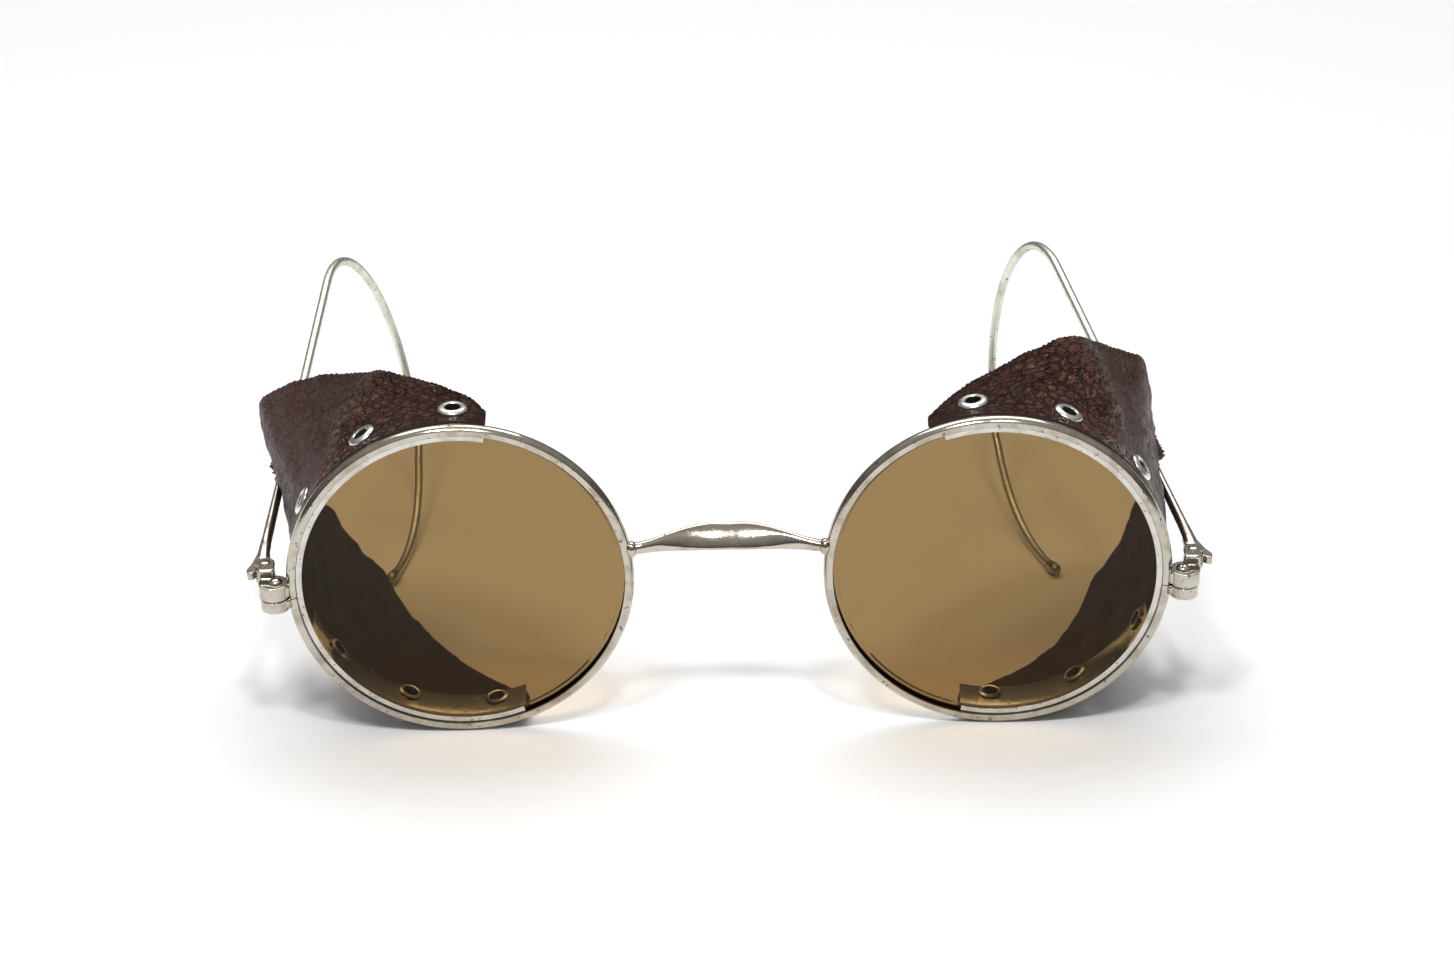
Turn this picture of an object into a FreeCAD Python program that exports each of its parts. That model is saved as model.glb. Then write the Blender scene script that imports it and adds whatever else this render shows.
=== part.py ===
import FreeCAD, Part
import math
import os
import Sketcher

# Round-eye glacier glasses with folding cable temples and leather side shields.
# Frame of the whole object: +X to the wearer's left, +Y from the lenses back to the ears, +Z up.
# It stands on the lower edges of its rims and on its two ear hooks, with the floor at Z = 0.
# Each eye has a frame of its own: origin at the lens centre, Y along the lens axis, and the
# pieces of one eye are drawn for the wearer's left and mirrored in X for the right.

SIZES = {
    # front
    "origin_left": 0.18,
    "origin_back": 41.5,
    "lens_spacing": 71.0,
    "lens_tilt": 5.2,
    "lens_wrap": 2.0,
    # eye wire
    "crown_radius": 21.9,
    "crown_round": 1.1,
    "rim_half_depth": 0.95,
    "rim_bore": 21.7,
    "groove_depth": 0.65,
    "groove_half_width": 0.62,
    "split_angle": 0.3,
    "split_height": 1.65,
    # lens and the play round it
    "groove_play": 0.03,
    "lens_play": 0.04,
    "lens_dome": 1.2,
    "lens_step_back": 1.1,
    # shield band
    "sheet": 0.2,
    "lip_reach": 0.8,
    "skirt_play": 0.1,
    "shield_depth": 6.5,
    "shield_half_span": 106.0,
    "hinge_notch_angle": 40.0,
    "right_shield_clock": -5.0,
    "left_shield_clock": 3.5,
    # eyelets
    "eyelet_depth": 4.9,
    "eyelet_pitch": 32.0,
    "eyelet_first": 31.0,
    "eyelet_bore": 1.0,
    "eyelet_wall": 0.2,
    "eyelet_flange": 2.0,
    "eyelet_height": 0.4,
    "eyelet_washer": 1.6,
    "eyelet_play": 0.03,
    # leather
    "leather_thick": 1.1,
    "leather_front": 1.35,
    "leather_play": 0.15,
    "temple_slot_play": 0.35,
    # end piece and hinge
    "pivot_out": 26.0,
    "pivot_back": 3.35,
    "pivot_height": 0.35,
    "knuckle_radius": 1.3,
    "knuckle_thick": 1.2,
    "knuckle_play": 0.05,
    "ear_radius": 1.35,
    "ear_thick": 0.7,
    "pin_radius": 0.5,
    "pin_play": 0.03,
    "pin_head_radius": 0.72,
    "pin_head_height": 0.2,
    "post_thick": 0.8,
    "post_out": 0.8,
    "lug_top": 0.45,
    "lug_bottom": 3.0,
    "lug_out": 25.7,
    "lug_front": 1.0,
    "lug_back": 1.2,
    "lug_gap": 0.12,
    "screw_out": 24.45,
    "screw_forward": 0.1,
    "screw_radius": 0.5,
    "screw_head_radius": 0.95,
    "screw_head_height": 0.55,
    "screw_tail": 0.35,
    "screw_slot": 0.22,
    # temple
    "right_temple_toe": 5.5,
    "left_temple_toe": 15.3,
    "blade_offset": 0.95,
    "blade_reach": 5.2,
    "wire_start": 2.4,
    "root_half_width": 0.95,
    "root_half_height": 0.6,
    "neck_distance": 5.0,
    "neck_half_width": 0.68,
    "neck_half_height": 0.78,
    "bar_length": 26.0,
    "bar_end_radius": 0.6,
    "ferrule_radius": 0.95,
    "ferrule_length": 5.0,
    "cable_radius": 0.65,
    "cable_play": 0.03,
    "core_radius": 0.3,
    "straight_length": 62.0,
    "hook_start_radius": 15.4,
    "hook_end_radius": 43.0,
    "hook_turn": 206.5,
    "right_hook_roll": 15.4,
    "left_hook_roll": 7.0,
    "tip_radius": 0.85,
    "tip_length": 3.0,
    "tip_cover": 2.0,
    # bridge
    "bridge_end_height": 3.9,
    "bridge_crest_height": 4.7,
    "bridge_end_back": 0.3,
    "bridge_crest_back": 2.4,
    "bridge_half_width": 1.95,
    "bridge_half_thick": 0.5,
    "bridge_lean": 40.0,
    "bridge_neck_radius": 0.82,
}

# Free rear edge of each leather shield, from its upper end over the temple to its lower end:
# angle up from the outboard direction, outer radius about the lens axis, depth behind the lens.
STATIONS = ("upper_tip", "upper_edge", "upper_back", "brow", "crest", "shoulder", "corner", "side",
            "tuck", "keel", "cheek", "lower_tip")
REAR_EDGE = {
    "right": ((101.0, 22.8, 4.4), (99.0, 22.8, 6.0), (96.5, 22.8, 8.0), (82.0, 22.9, 13.2),
              (62.0, 23.5, 20.4), (42.0, 26.6, 26.0), (25.0, 31.0, 29.3), (8.0, 27.0, 29.6),
              (-14.0, 20.6, 30.0), (-46.0, 18.6, 26.5), (-74.0, 21.0, 18.5), (-111.0, 22.8, 5.0)),
    "left": ((114.0, 22.8, 3.8), (109.0, 22.8, 6.3), (104.5, 22.8, 8.6), (92.0, 22.8, 13.4),
             (70.0, 24.4, 22.6), (55.0, 25.6, 26.0), (41.0, 27.1, 28.4), (25.0, 23.9, 28.0),
             (-16.0, 21.6, 28.3), (-45.0, 21.2, 24.0), (-65.0, 23.2, 16.5), (-102.5, 22.8, 4.5)),
}
SIDES = {"right": -1, "left": 1}
HOOK_ARCS = 6
LEATHER_STEP = 7.0
OVAL_POINTS = 12
OVERCUT = 1.0
ON_AXIS = "on axis"

doc = FreeCAD.newDocument("glacier_glasses")
sheet = doc.addObject("Spreadsheet::Sheet", "Sizes")
X_AXIS = FreeCAD.Vector(1, 0, 0)
Y_AXIS = FreeCAD.Vector(0, 1, 0)
Z_AXIS = FreeCAD.Vector(0, 0, 1)


def fill_sheet():
    """Write every driving size into the sheet, one row each: name, value."""
    values = dict(SIZES)
    for side, rows in REAR_EDGE.items():
        for station, row in zip(STATIONS, rows):
            for kind, value in zip(("angle", "radius", "depth"), row):
                values[f"{side}_{station}_{kind}"] = value
    for row, (name, value) in enumerate(values.items(), start=1):
        sheet.set(f"A{row}", name)
        sheet.set(f"B{row}", str(value))
        sheet.setAlias(f"B{row}", name)
    doc.recompute()


def size(name):
    return float(sheet.get(name))


def factor(word):
    """A number or the name of a size, as a number."""
    return float(word) if word[0].isdigit() else size(word)


def amount(text):
    """Value of a sum such as 'rim_bore + 0.5*sheet - lens_play'."""
    total, sign = 0.0, 1.0
    for word in text.split():
        if word in "+-":
            sign = 1.0 if word == "+" else -1.0
            continue
        total += sign * math.prod(factor(part) for part in word.split("*"))
        sign = 1.0
    return total


def formula(text):
    """The same sum as a FreeCAD expression that reads the sheet."""
    words = []
    for word in text.split():
        parts = [part if part[0].isdigit() or part in "+-" else f"Sizes.{part}" for part in word.split("*")]
        words.append(" * ".join(parts))
    return " ".join(words)


def bind(thing, prop, text):
    """Set a property of a document object from the sheet, and keep it tied."""
    thing.setExpression(prop, formula(text))


def add(kind, name):
    return doc.addObject(kind, name)


def turn(axis, degrees):
    return FreeCAD.Rotation(axis, degrees)


def place(x=0.0, y=0.0, z=0.0, rotation=None):
    return FreeCAD.Placement(FreeCAD.Vector(x, y, z), rotation or FreeCAD.Rotation())


# ---------------------------------------------------------------- sketches and primitives


def pin_down(sketch, geo, end, axis, text):
    """Fix one coordinate of a sketch point to a sum of sizes, measured from the origin."""
    value = amount(text)
    kind, line = (("DistanceX", -2), ("DistanceY", -1))[axis]
    if abs(value) < 1e-9:
        sketch.addConstraint(Sketcher.Constraint("PointOnObject", geo, end, line))
        return
    ends = (-1, 1, geo, end) if value > 0 else (geo, end, -1, 1)
    index = sketch.addConstraint(Sketcher.Constraint(kind, *ends, abs(value)))
    tied = formula(text) if value > 0 else f"-({formula(text)})"
    sketch.setExpression(f"Constraints[{index}]", tied)


def arc_geometry(start, end, radius, bulge):
    """Arc from start to end; bulge 1 bows it to the right of the way it runs, -1 to the left."""
    chord = end - start
    normal = FreeCAD.Vector(chord.y, -chord.x, 0).normalize()
    rise = math.sqrt(max(radius ** 2 - (chord.Length / 2) ** 2, 0.0))
    centre = (start + end) * 0.5 - normal * rise * bulge
    circle = Part.Circle(centre, Z_AXIS, radius)
    first, last = (start, end) if bulge > 0 else (end, start)
    return Part.ArcOfCircle(circle, circle.parameter(first), circle.parameter(last))


def dome_radius(start, end):
    """Radius of the arc between a point and one on the Y axis, with its centre on that axis."""
    across, along = max(start.x, end.x), abs(start.y - end.y)
    return (across ** 2 + along ** 2) / (2 * along)


def outline(body, name, role, corners, arcs=None):
    """Closed sketch of straight edges, some of them bowed, with every corner tied to the sheet.

    corners are pairs of sums; arcs maps an edge's number to (radius sum, bulge), and a radius of
    ON_AXIS puts the arc's centre on the sketch's Y axis instead.
    """
    arcs = arcs or {}
    sketch = body.newObject("Sketcher::SketchObject", name)
    plane = [item for item in body.Origin.OriginFeatures if item.Role == role][0]
    sketch.AttachmentSupport = [(plane, "")]
    sketch.MapMode = "FlatFace"
    points = [FreeCAD.Vector(amount(x), amount(y), 0) for x, y in corners]
    ends = []
    for number, start in enumerate(points):
        end = points[(number + 1) % len(points)]
        if number in arcs:
            radius, bulge = arcs[number]
            if radius == ON_AXIS:
                geo = sketch.addGeometry(arc_geometry(start, end, dome_radius(start, end), bulge), False)
                sketch.addConstraint(Sketcher.Constraint("PointOnObject", geo, 3, -2))
            else:
                geo = sketch.addGeometry(arc_geometry(start, end, amount(radius), bulge), False)
                index = sketch.addConstraint(Sketcher.Constraint("Radius", geo, amount(radius)))
                sketch.setExpression(f"Constraints[{index}]", formula(radius))
            ends.append((geo, 1, 2) if bulge > 0 else (geo, 2, 1))
        else:
            geo = sketch.addGeometry(Part.LineSegment(start, end), False)
            ends.append((geo, 1, 2))
    for number, (geo, first, last) in enumerate(ends):
        after, after_first, _ = ends[(number + 1) % len(ends)]
        sketch.addConstraint(Sketcher.Constraint("Coincident", geo, last, after, after_first))
        pin_down(sketch, geo, first, 0, corners[number][0])
        pin_down(sketch, geo, first, 1, corners[number][1])
    return sketch


def revolved(name, corners, arcs=None, angle="360"):
    """Body turned about its Y axis; the outline gives (radius, depth), centred on +X."""
    body = add("PartDesign::Body", name)
    sketch = outline(body, name + "_outline", "XY_Plane", corners, arcs)
    spin = body.newObject("PartDesign::Revolution", name + "_turning")
    spin.Profile = sketch
    spin.ReferenceAxis = (sketch, ["V_Axis"])
    spin.Midplane = True
    bind(spin, "Angle", angle)
    sketch.Visibility = False
    return body


def padded(name, corners, thick):
    """Flat plate in the XY plane, half its thickness each side."""
    body = add("PartDesign::Body", name)
    sketch = outline(body, name + "_outline", "XY_Plane", corners)
    pad = body.newObject("PartDesign::Pad", name + "_pad")
    pad.Profile = sketch
    pad.Midplane = True
    bind(pad, "Length", thick)
    return body


def box(name, low, high):
    """Box between two corners, each corner three sums."""
    thing = add("Part::Box", name)
    for prop, first, last in zip(("Length", "Width", "Height"), low, high):
        thing.setExpression(prop, f"({formula(last)}) - ({formula(first)})")
    for prop, first in zip("xyz", low):
        bind(thing, f"Placement.Base.{prop}", first)
    return thing


def rod(name, foot, radius, bottom, top):
    """Upright cylinder at (x, y) from one height to another."""
    thing = add("Part::Cylinder", name)
    bind(thing, "Radius", radius)
    thing.setExpression("Height", f"({formula(top)}) - ({formula(bottom)})")
    bind(thing, "Placement.Base.x", foot[0])
    bind(thing, "Placement.Base.y", foot[1])
    bind(thing, "Placement.Base.z", bottom)
    return thing


def fused(name, *things):
    result = add("Part::MultiFuse", name)
    result.Shapes = list(things)
    return result


def cut(name, base, *tools):
    result = add("Part::Cut", name)
    result.Base = base
    result.Tool = tools[0] if len(tools) == 1 else fused(name + "_cutters", *tools)
    return result


PARTS = []


def piece(thing, label, placement, side=1):
    """Make a finished sub-part: its name, its place, and its mirror image for the right eye."""
    if side < 0:
        mirrored = add("Part::Mirroring", label)
        mirrored.Source = thing
        mirrored.Normal = X_AXIS
        thing = mirrored
    thing.Label = label
    thing.Placement = placement
    PARTS.append(thing)
    return thing


# ---------------------------------------------------------------- frames


def lens_height():
    """Height at which a tilted rim just touches the floor."""
    return size("crown_radius") * math.cos(math.radians(size("lens_tilt"))) + size("crown_round")


def lens_frame(side):
    sign = SIDES[side]
    rotation = turn(X_AXIS, size("lens_tilt")) * turn(Z_AXIS, -sign * size("lens_wrap"))
    across = sign * size("lens_spacing") / 2 + size("origin_left")
    return place(across, -size("origin_back"), lens_height(), rotation)


def hinge_frame(side):
    """Origin in the middle of the knuckle, Z along the pin, Y along the temple seen from above."""
    sign = SIDES[side]
    toe = turn(Z_AXIS, sign * size(side + "_temple_toe"))
    centre = (sign * size("pivot_out"), size("pivot_back"), size("pivot_height"))
    return lens_frame(side) * place(*centre, toe)


def wire_frame(side, rise):
    """Origin where the temple's wire leaves its blade, Y along the wire."""
    sign = SIDES[side]
    rotation = turn(X_AXIS, rise) * turn(Y_AXIS, sign * size(side + "_hook_roll"))
    return hinge_frame(side) * place(sign * size("blade_offset"), size("wire_start"), 0, rotation)


def hook_arcs():
    """Ear hook as tangent arcs in the YZ plane, each rounder than the last: (start, middle, end)."""
    first, last = 1 / size("hook_start_radius"), 1 / size("hook_end_radius")
    turn_left = math.radians(size("hook_turn"))
    length = turn_left / ((first + last) / 2) / HOOK_ARCS
    heading = 0.0
    here = FreeCAD.Vector(0, size("straight_length"), 0)
    arcs = []
    for number in range(HOOK_ARCS):
        bend = first + (last - first) * (number + 0.5) / HOOK_ARCS
        centre = here + FreeCAD.Vector(0, -math.sin(heading), -math.cos(heading)) * (1 / bend)
        points = []
        for part in (0.0, 0.5, 1.0):
            angle = heading + part * bend * length
            points.append(centre + FreeCAD.Vector(0, math.sin(angle), math.cos(angle)) * (1 / bend))
        arcs.append(points)
        here = points[-1]
        heading += bend * length
    return arcs, heading


def lowest_point(side, rise):
    """Height of the underside of the ear hook and its tip for a given rise of the temple."""
    frame = wire_frame(side, rise)
    lowest = 1e9
    for points in hook_arcs()[0]:
        arc = Part.Arc(*points)
        for step in range(21):
            at = arc.FirstParameter + (arc.LastParameter - arc.FirstParameter) * step / 20
            lowest = min(lowest, frame.multVec(arc.value(at)).z - size("cable_radius"))
    arcs, heading = hook_arcs()
    ahead = FreeCAD.Vector(0, math.cos(heading), -math.sin(heading))
    for reach in (-size("tip_cover"), size("tip_length") - size("tip_cover") - size("tip_radius")):
        lowest = min(lowest, frame.multVec(arcs[-1][-1] + ahead * reach).z - size("tip_radius"))
    return lowest


def resting_rise(side):
    """Rise of the temple at which its ear hook stands on the floor, found by halving."""
    low, high = -10.0, 45.0
    for _ in range(40):
        middle = (low + high) / 2
        if lowest_point(side, middle) > 0:
            high = middle
        else:
            low = middle
    return high


# ---------------------------------------------------------------- front


def make_eye_wire(side):
    """Round wire with a domed back, a flat-bottomed groove inside, and a saw cut for the screw."""
    corners = [
        ("rim_bore", "- rim_half_depth"),
        ("crown_radius + 0.5*crown_round", "- rim_half_depth"),
        ("crown_radius + 0.5*crown_round", "rim_half_depth"),
        ("rim_bore", "rim_half_depth"),
        ("rim_bore", "groove_half_width"),
        ("rim_bore + groove_depth", "groove_half_width"),
        ("rim_bore + groove_depth", "- groove_half_width"),
        ("rim_bore", "- groove_half_width"),
    ]
    body = revolved(side + "_eye_wire_body", corners, {1: ("crown_round", 1)}, "360 - split_angle")
    split = math.degrees(math.asin(size("split_height") / (size("crown_radius") + size("crown_round"))))
    sign = SIDES[side]
    facing_nose = turn(Y_AXIS, 180 + split if sign > 0 else -split)
    piece(body, side + "_eye_wire", lens_frame(side) * place(rotation=facing_nose))


def make_lens(side):
    """Shallow glass with a thin edge for the groove and a thicker step behind it."""
    edge = "rim_bore + groove_depth - groove_play - sheet - lens_play"
    half_edge = "groove_half_width - groove_play - sheet - lens_play"
    front = "- groove_half_width + groove_play + sheet + lens_play"
    step = "rim_bore - skirt_play - 2*sheet - lens_play"
    corners = [
        (step, front),
        (edge, front),
        (edge, half_edge),
        (step, half_edge),
        (step, "lens_step_back"),
        ("0", "lens_step_back - lens_dome"),
        ("0", front + " - lens_dome"),
    ]
    body = revolved(side + "_lens_body", corners, {4: (ON_AXIS, -1), 6: (ON_AXIS, 1)})
    piece(body, side + "_lens", lens_frame(side))


def radial(side, angle, depth, out):
    """Frame on the shield at a clock angle, with Z pointing out from the lens axis."""
    sign = SIDES[side]
    around = turn(Y_AXIS, -angle if sign > 0 else 180 + angle)
    return place(rotation=around) * place(out, depth, 0, turn(Y_AXIS, 90))


def eyelet_angles(side):
    first, pitch, clock = size("eyelet_first"), size("eyelet_pitch"), size(side + "_shield_clock")
    return [clock + way * (first + pitch * count) for way in (1, -1) for count in range(3)]


def radial_drills(side, name, radius):
    """Cylinders through the shield at every eyelet."""
    drills = []
    for number, angle in enumerate(eyelet_angles(side), start=1):
        drill = add("Part::Cylinder", f"{name}_{number}")
        bind(drill, "Radius", radius)
        bind(drill, "Height", "6*leather_thick")
        inner = size("rim_bore") - 3 * size("leather_thick")
        drill.Placement = radial(side, angle, size("eyelet_depth"), inner)
        drills.append(drill)
    return drills


def make_shield_band(side):
    """Rolled half ring: a channel round the lens edge, a lip in front, a skirt behind."""
    channel = "rim_bore + groove_depth - groove_play"
    front = "- groove_half_width + groove_play"
    corners = [
        ("rim_bore - lip_reach", front),
        (channel, front),
        (channel, "groove_half_width - groove_play"),
        ("rim_bore - skirt_play", "groove_half_width - groove_play"),
        ("rim_bore - skirt_play", "shield_depth"),
        ("rim_bore - skirt_play - sheet", "shield_depth"),
        ("rim_bore - skirt_play - sheet", "groove_half_width - groove_play - sheet"),
        (channel + " - sheet", "groove_half_width - groove_play - sheet"),
        (channel + " - sheet", front + " + sheet"),
        ("rim_bore - lip_reach", front + " + sheet"),
    ]
    body = revolved(side + "_band_body", corners, angle="2*shield_half_span")
    sign, clock = SIDES[side], size(side + "_shield_clock")
    body.Placement = place(rotation=turn(Y_AXIS, -clock if sign > 0 else 180 + clock))
    half_gap = (size("rim_bore")) * math.sin(math.radians(size("hinge_notch_angle") / 2))
    notch = add("Part::Box", side + "_band_notch")
    reach = "2*ear_radius + crown_radius"
    bind(notch, "Length", reach)
    bind(notch, "Width", "shield_depth")
    notch.Height = 2 * half_gap
    start = size("rim_half_depth")
    notch.Placement = place(0 if sign > 0 else -amount(reach), start, -half_gap)
    drills = radial_drills(side, side + "_band_drill", "eyelet_bore + eyelet_wall + eyelet_play")
    result = cut(side + "_band_cut", body, notch, *drills)
    piece(result, side + "_shield_band", lens_frame(side))


def make_eyelets(side):
    """Six rolled eyelets that clamp the leather to the band, one turned profile repeated."""
    outside = size("rim_bore") - size("skirt_play") + size("leather_play") + size("leather_thick")
    inside = size("rim_bore") - size("skirt_play") - size("sheet")
    bore, barrel = size("eyelet_bore"), size("eyelet_bore") + size("eyelet_wall")
    flange, washer, high = size("eyelet_flange"), size("eyelet_washer"), size("eyelet_height")
    play = size("eyelet_play")
    seat = math.sqrt(inside ** 2 - washer ** 2) - play - inside
    top = outside - inside + play
    rows = [(bore, seat - high), (washer, seat - high), (washer, seat), (barrel, seat), (barrel, top),
            (flange, top), (flange, top + 0.3 * high), (0.5 * (flange + bore), top + high),
            (bore, top + 0.6 * high)]
    solids = []
    for angle in eyelet_angles(side):
        wire = Part.makePolygon([FreeCAD.Vector(r, 0, z) for r, z in rows + rows[:1]])
        ring = Part.Face(wire).revolve(FreeCAD.Vector(), Z_AXIS, 360)
        ring.Placement = radial(side, angle, size("eyelet_depth"), inside)
        solids.append(ring)
    group = add("Part::Feature", side + "_eyelets")
    group.Shape = Part.makeCompound(solids)
    piece(group, side + "_eyelets", lens_frame(side))


def rear_edge(side, angle):
    """Radius and depth of the leather's free edge at a clock angle, between the stations."""
    rows = [[size(f"{side}_{station}_{kind}") for kind in ("angle", "radius", "depth")] for station in STATIONS]
    for (a0, r0, d0), (a1, r1, d1) in zip(rows, rows[1:]):
        if a1 <= angle <= a0:
            share = (a0 - angle) / (a0 - a1)
            return r0 + (r1 - r0) * share, d0 + (d1 - d0) * share
    return rows[-1][1:]


def leather_section(side, angle):
    """Cut through the leather along the lens axis: a straight stretch on the band, then the flare."""
    outer = size("rim_bore") - size("skirt_play") + size("leather_play") + size("leather_thick")
    thick, front = size("leather_thick"), size("leather_front")
    radius, depth = rear_edge(side, angle)
    if depth < size("shield_depth") + thick:
        radius = outer
    knee = min(size("shield_depth") + 0.5 * thick, depth - 0.5 * thick)
    rows = [(outer - thick, front), (outer - thick, knee), (radius - thick, depth),
            (radius, depth), (outer, knee), (outer, front)]
    sign, ahead = SIDES[side], math.radians(angle)
    points = [FreeCAD.Vector(sign * r * math.cos(ahead), y, r * math.sin(ahead)) for r, y in rows]
    return Part.makePolygon(points + points[:1])


def make_leather(side, rise):
    """Side shield: one hide bent round the band, flaring back past the temple, with its slot."""
    top, bottom = (size(f"{side}_{station}_angle") for station in (STATIONS[0], STATIONS[-1]))
    steps = math.ceil((top - bottom) / LEATHER_STEP)
    sections = [leather_section(side, top + (bottom - top) * step / steps) for step in range(steps + 1)]
    hide = add("Part::Feature", side + "_leather_hide")
    hide.Shape = Part.makeLoft(sections, True, True)
    drills = radial_drills(side, side + "_leather_drill", "eyelet_bore + eyelet_wall + eyelet_play")
    slot = add("Part::Cylinder", side + "_temple_slot")
    bind(slot, "Radius", "neck_half_height + temple_slot_play")
    bind(slot, "Height", "straight_length")
    slot.Placement = lens_frame(side).inverse() * wire_frame(side, rise) * place(rotation=turn(X_AXIS, -90))
    piece(cut(side + "_leather_cut", hide, slot, *drills), side + "_shield_leather", lens_frame(side))


def oval(half_width, half_height):
    """Closed smooth curve through points of an ellipse, ready for lofting."""
    points = []
    for step in range(OVAL_POINTS):
        angle = 2 * math.pi * step / OVAL_POINTS
        points.append(FreeCAD.Vector(half_width * math.cos(angle), half_height * math.sin(angle), 0))
    curve = Part.BSplineCurve()
    curve.interpolate(points, PeriodicFlag=True)
    return Part.Wire(curve.toShape())


def make_bridge():
    """Saddle bridge: round necks at the rims flattening into a leaning, polished crest."""
    half = size("lens_spacing") / 2 - size("crown_radius") - size("crown_round")
    low, high = (lens_height() + size(f"bridge_{name}_height") for name in ("end", "crest"))
    back, crest_back = (size(f"bridge_{name}_back") for name in ("end", "crest"))
    neck, wide, thin = (size("bridge_" + n) for n in ("neck_radius", "half_width", "half_thick"))
    shares = [(1.06, 0.0, 0.0, 0.0), (0.9, 0.15, 0.04, 0.0), (0.7, 0.45, 0.27, 0.6), (0.4, 0.87, 0.8, 0.95),
              (0.16, 1.0, 1.0, 1.0)]
    shares += [(-out, rise, flat, lean) for out, rise, flat, lean in reversed(shares)]
    wires = []
    for out, rise, flat, lean in shares:
        wire = oval(neck + (wide - neck) * flat, neck + (thin - neck) * flat)
        tipped = turn(X_AXIS, -size("bridge_lean") * lean) * turn(Y_AXIS, -90)
        centre = (half * out, back + (crest_back - back) * rise, low + (high - low) * rise)
        wire.Placement = place(*centre, tipped)
        wires.append(wire)
    saddle = add("Part::Feature", "bridge_saddle")
    saddle.Shape = Part.makeLoft(wires, True, False)
    middle = place(size("origin_left"), -size("origin_back"), 0)
    trimmed = saddle
    for side in SIDES:
        core = rim_envelope(side + "_bridge")
        core.Placement = middle.inverse() * lens_frame(side)
        trimmed = cut(side + "_bridge_cut", trimmed, core)
    piece(trimmed, "bridge", middle)


def rim_envelope(name):
    """Everything inside the outer surface of an eye wire, to trim what is soldered to it."""
    core = add("Part::Cylinder", name + "_rim_core")
    bind(core, "Radius", "crown_radius + 0.5*crown_round")
    bind(core, "Height", "6*rim_half_depth")
    core.Placement = place(0, -3 * size("rim_half_depth"), 0, turn(X_AXIS, -90))
    crown = add("Part::Torus", name + "_rim_crown")
    bind(crown, "Radius1", "crown_radius")
    bind(crown, "Radius2", "crown_round")
    crown.Placement = place(rotation=turn(X_AXIS, 90))
    return fused(name + "_rim_envelope", core, crown)


# ---------------------------------------------------------------- end piece and hinge

UPPER_EAR_TOP = "pivot_height + 0.5*knuckle_thick + knuckle_play + ear_thick"
LOWER_EAR_BOTTOM = "pivot_height - 0.5*knuckle_thick - knuckle_play - ear_thick"
PIVOT = ("pivot_out", "pivot_back")
SCREW = ("screw_out", "- screw_forward")


def make_upper_lug(side):
    """Upper half of the end piece, with the post and the two ears of the hinge on it."""
    name = side + "_upper_lug"
    inner = "crown_radius + 0.2*crown_round"
    block = box(name + "_block", (inner, "- lug_front", "- split_height + 0.5*lug_gap"),
                ("lug_out", "lug_back", "lug_top"))
    post_back = "pivot_back - ear_radius - knuckle_play"
    post = box(name + "_post", ("pivot_out - ear_radius", post_back + " - post_thick", LOWER_EAR_BOTTOM),
               ("pivot_out + post_out", post_back, UPPER_EAR_TOP))
    web = box(name + "_web", ("pivot_out - ear_radius", post_back, LOWER_EAR_BOTTOM),
              ("pivot_out + post_out", "pivot_back", UPPER_EAR_TOP))
    ears = rod(name + "_ears", PIVOT, "ear_radius", LOWER_EAR_BOTTOM, UPPER_EAR_TOP)
    slot = box(name + "_slot", ("pivot_out - 2*ear_radius", post_back,
                                "pivot_height - 0.5*knuckle_thick - knuckle_play"),
               ("pivot_out + 2*ear_radius", "pivot_back + 2*ear_radius",
                "pivot_height + 0.5*knuckle_thick + knuckle_play"))
    pin_hole = rod(name + "_pin_hole", PIVOT, "pin_radius + 0.3*pin_play", "- lug_bottom", "lug_bottom")
    screw_hole = rod(name + "_screw_hole", SCREW, "screw_radius + pin_play", "- lug_bottom", "lug_bottom")
    solid = fused(name + "_solid", block, post, web, ears)
    result = cut(name + "_cut", solid, rim_envelope(name), slot, pin_hole, screw_hole)
    piece(result, name, lens_frame(side), SIDES[side])


def make_lower_lug(side):
    """Lower half of the end piece, tapped for the closing screw."""
    name = side + "_lower_lug"
    block = box(name + "_block", ("crown_radius + 0.2*crown_round", "- lug_front", "- lug_bottom"),
                ("lug_out", "lug_back", "- split_height - 0.5*lug_gap"))
    hole = rod(name + "_hole", SCREW, "screw_radius + 0.3*pin_play", "- 2*lug_bottom", "lug_bottom")
    result = cut(name + "_cut", block, rim_envelope(name), hole)
    piece(result, name, lens_frame(side), SIDES[side])


def make_closing_screw(side):
    """Round-headed screw that draws the two lugs together and shuts the eye wire."""
    name = side + "_closing_screw"
    shank = rod(name + "_shank", SCREW, "screw_radius", "- lug_bottom - screw_tail", "lug_top")
    head = rod(name + "_head", SCREW, "screw_head_radius", "lug_top", "lug_top + screw_head_height")
    slot = box(name + "_slot", ("screw_out - 2*screw_head_radius", "- screw_forward - 0.5*screw_slot",
                                "lug_top + 0.5*screw_head_height"),
               ("screw_out + 2*screw_head_radius", "- screw_forward + 0.5*screw_slot",
                "lug_top + 2*screw_head_height"))
    piece(cut(name + "_cut", fused(name + "_solid", shank, head), slot), name, lens_frame(side), SIDES[side])


def make_hinge_pin(side):
    """Headed pin through both ears and the temple's knuckle."""
    name = side + "_hinge_pin"
    shank = rod(name + "_shank", PIVOT, "pin_radius", LOWER_EAR_BOTTOM, UPPER_EAR_TOP)
    head = rod(name + "_head", PIVOT, "pin_head_radius", UPPER_EAR_TOP, UPPER_EAR_TOP + " + pin_head_height")
    piece(fused(name + "_solid", shank, head), name, lens_frame(side), SIDES[side])


# ---------------------------------------------------------------- temples


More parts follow.
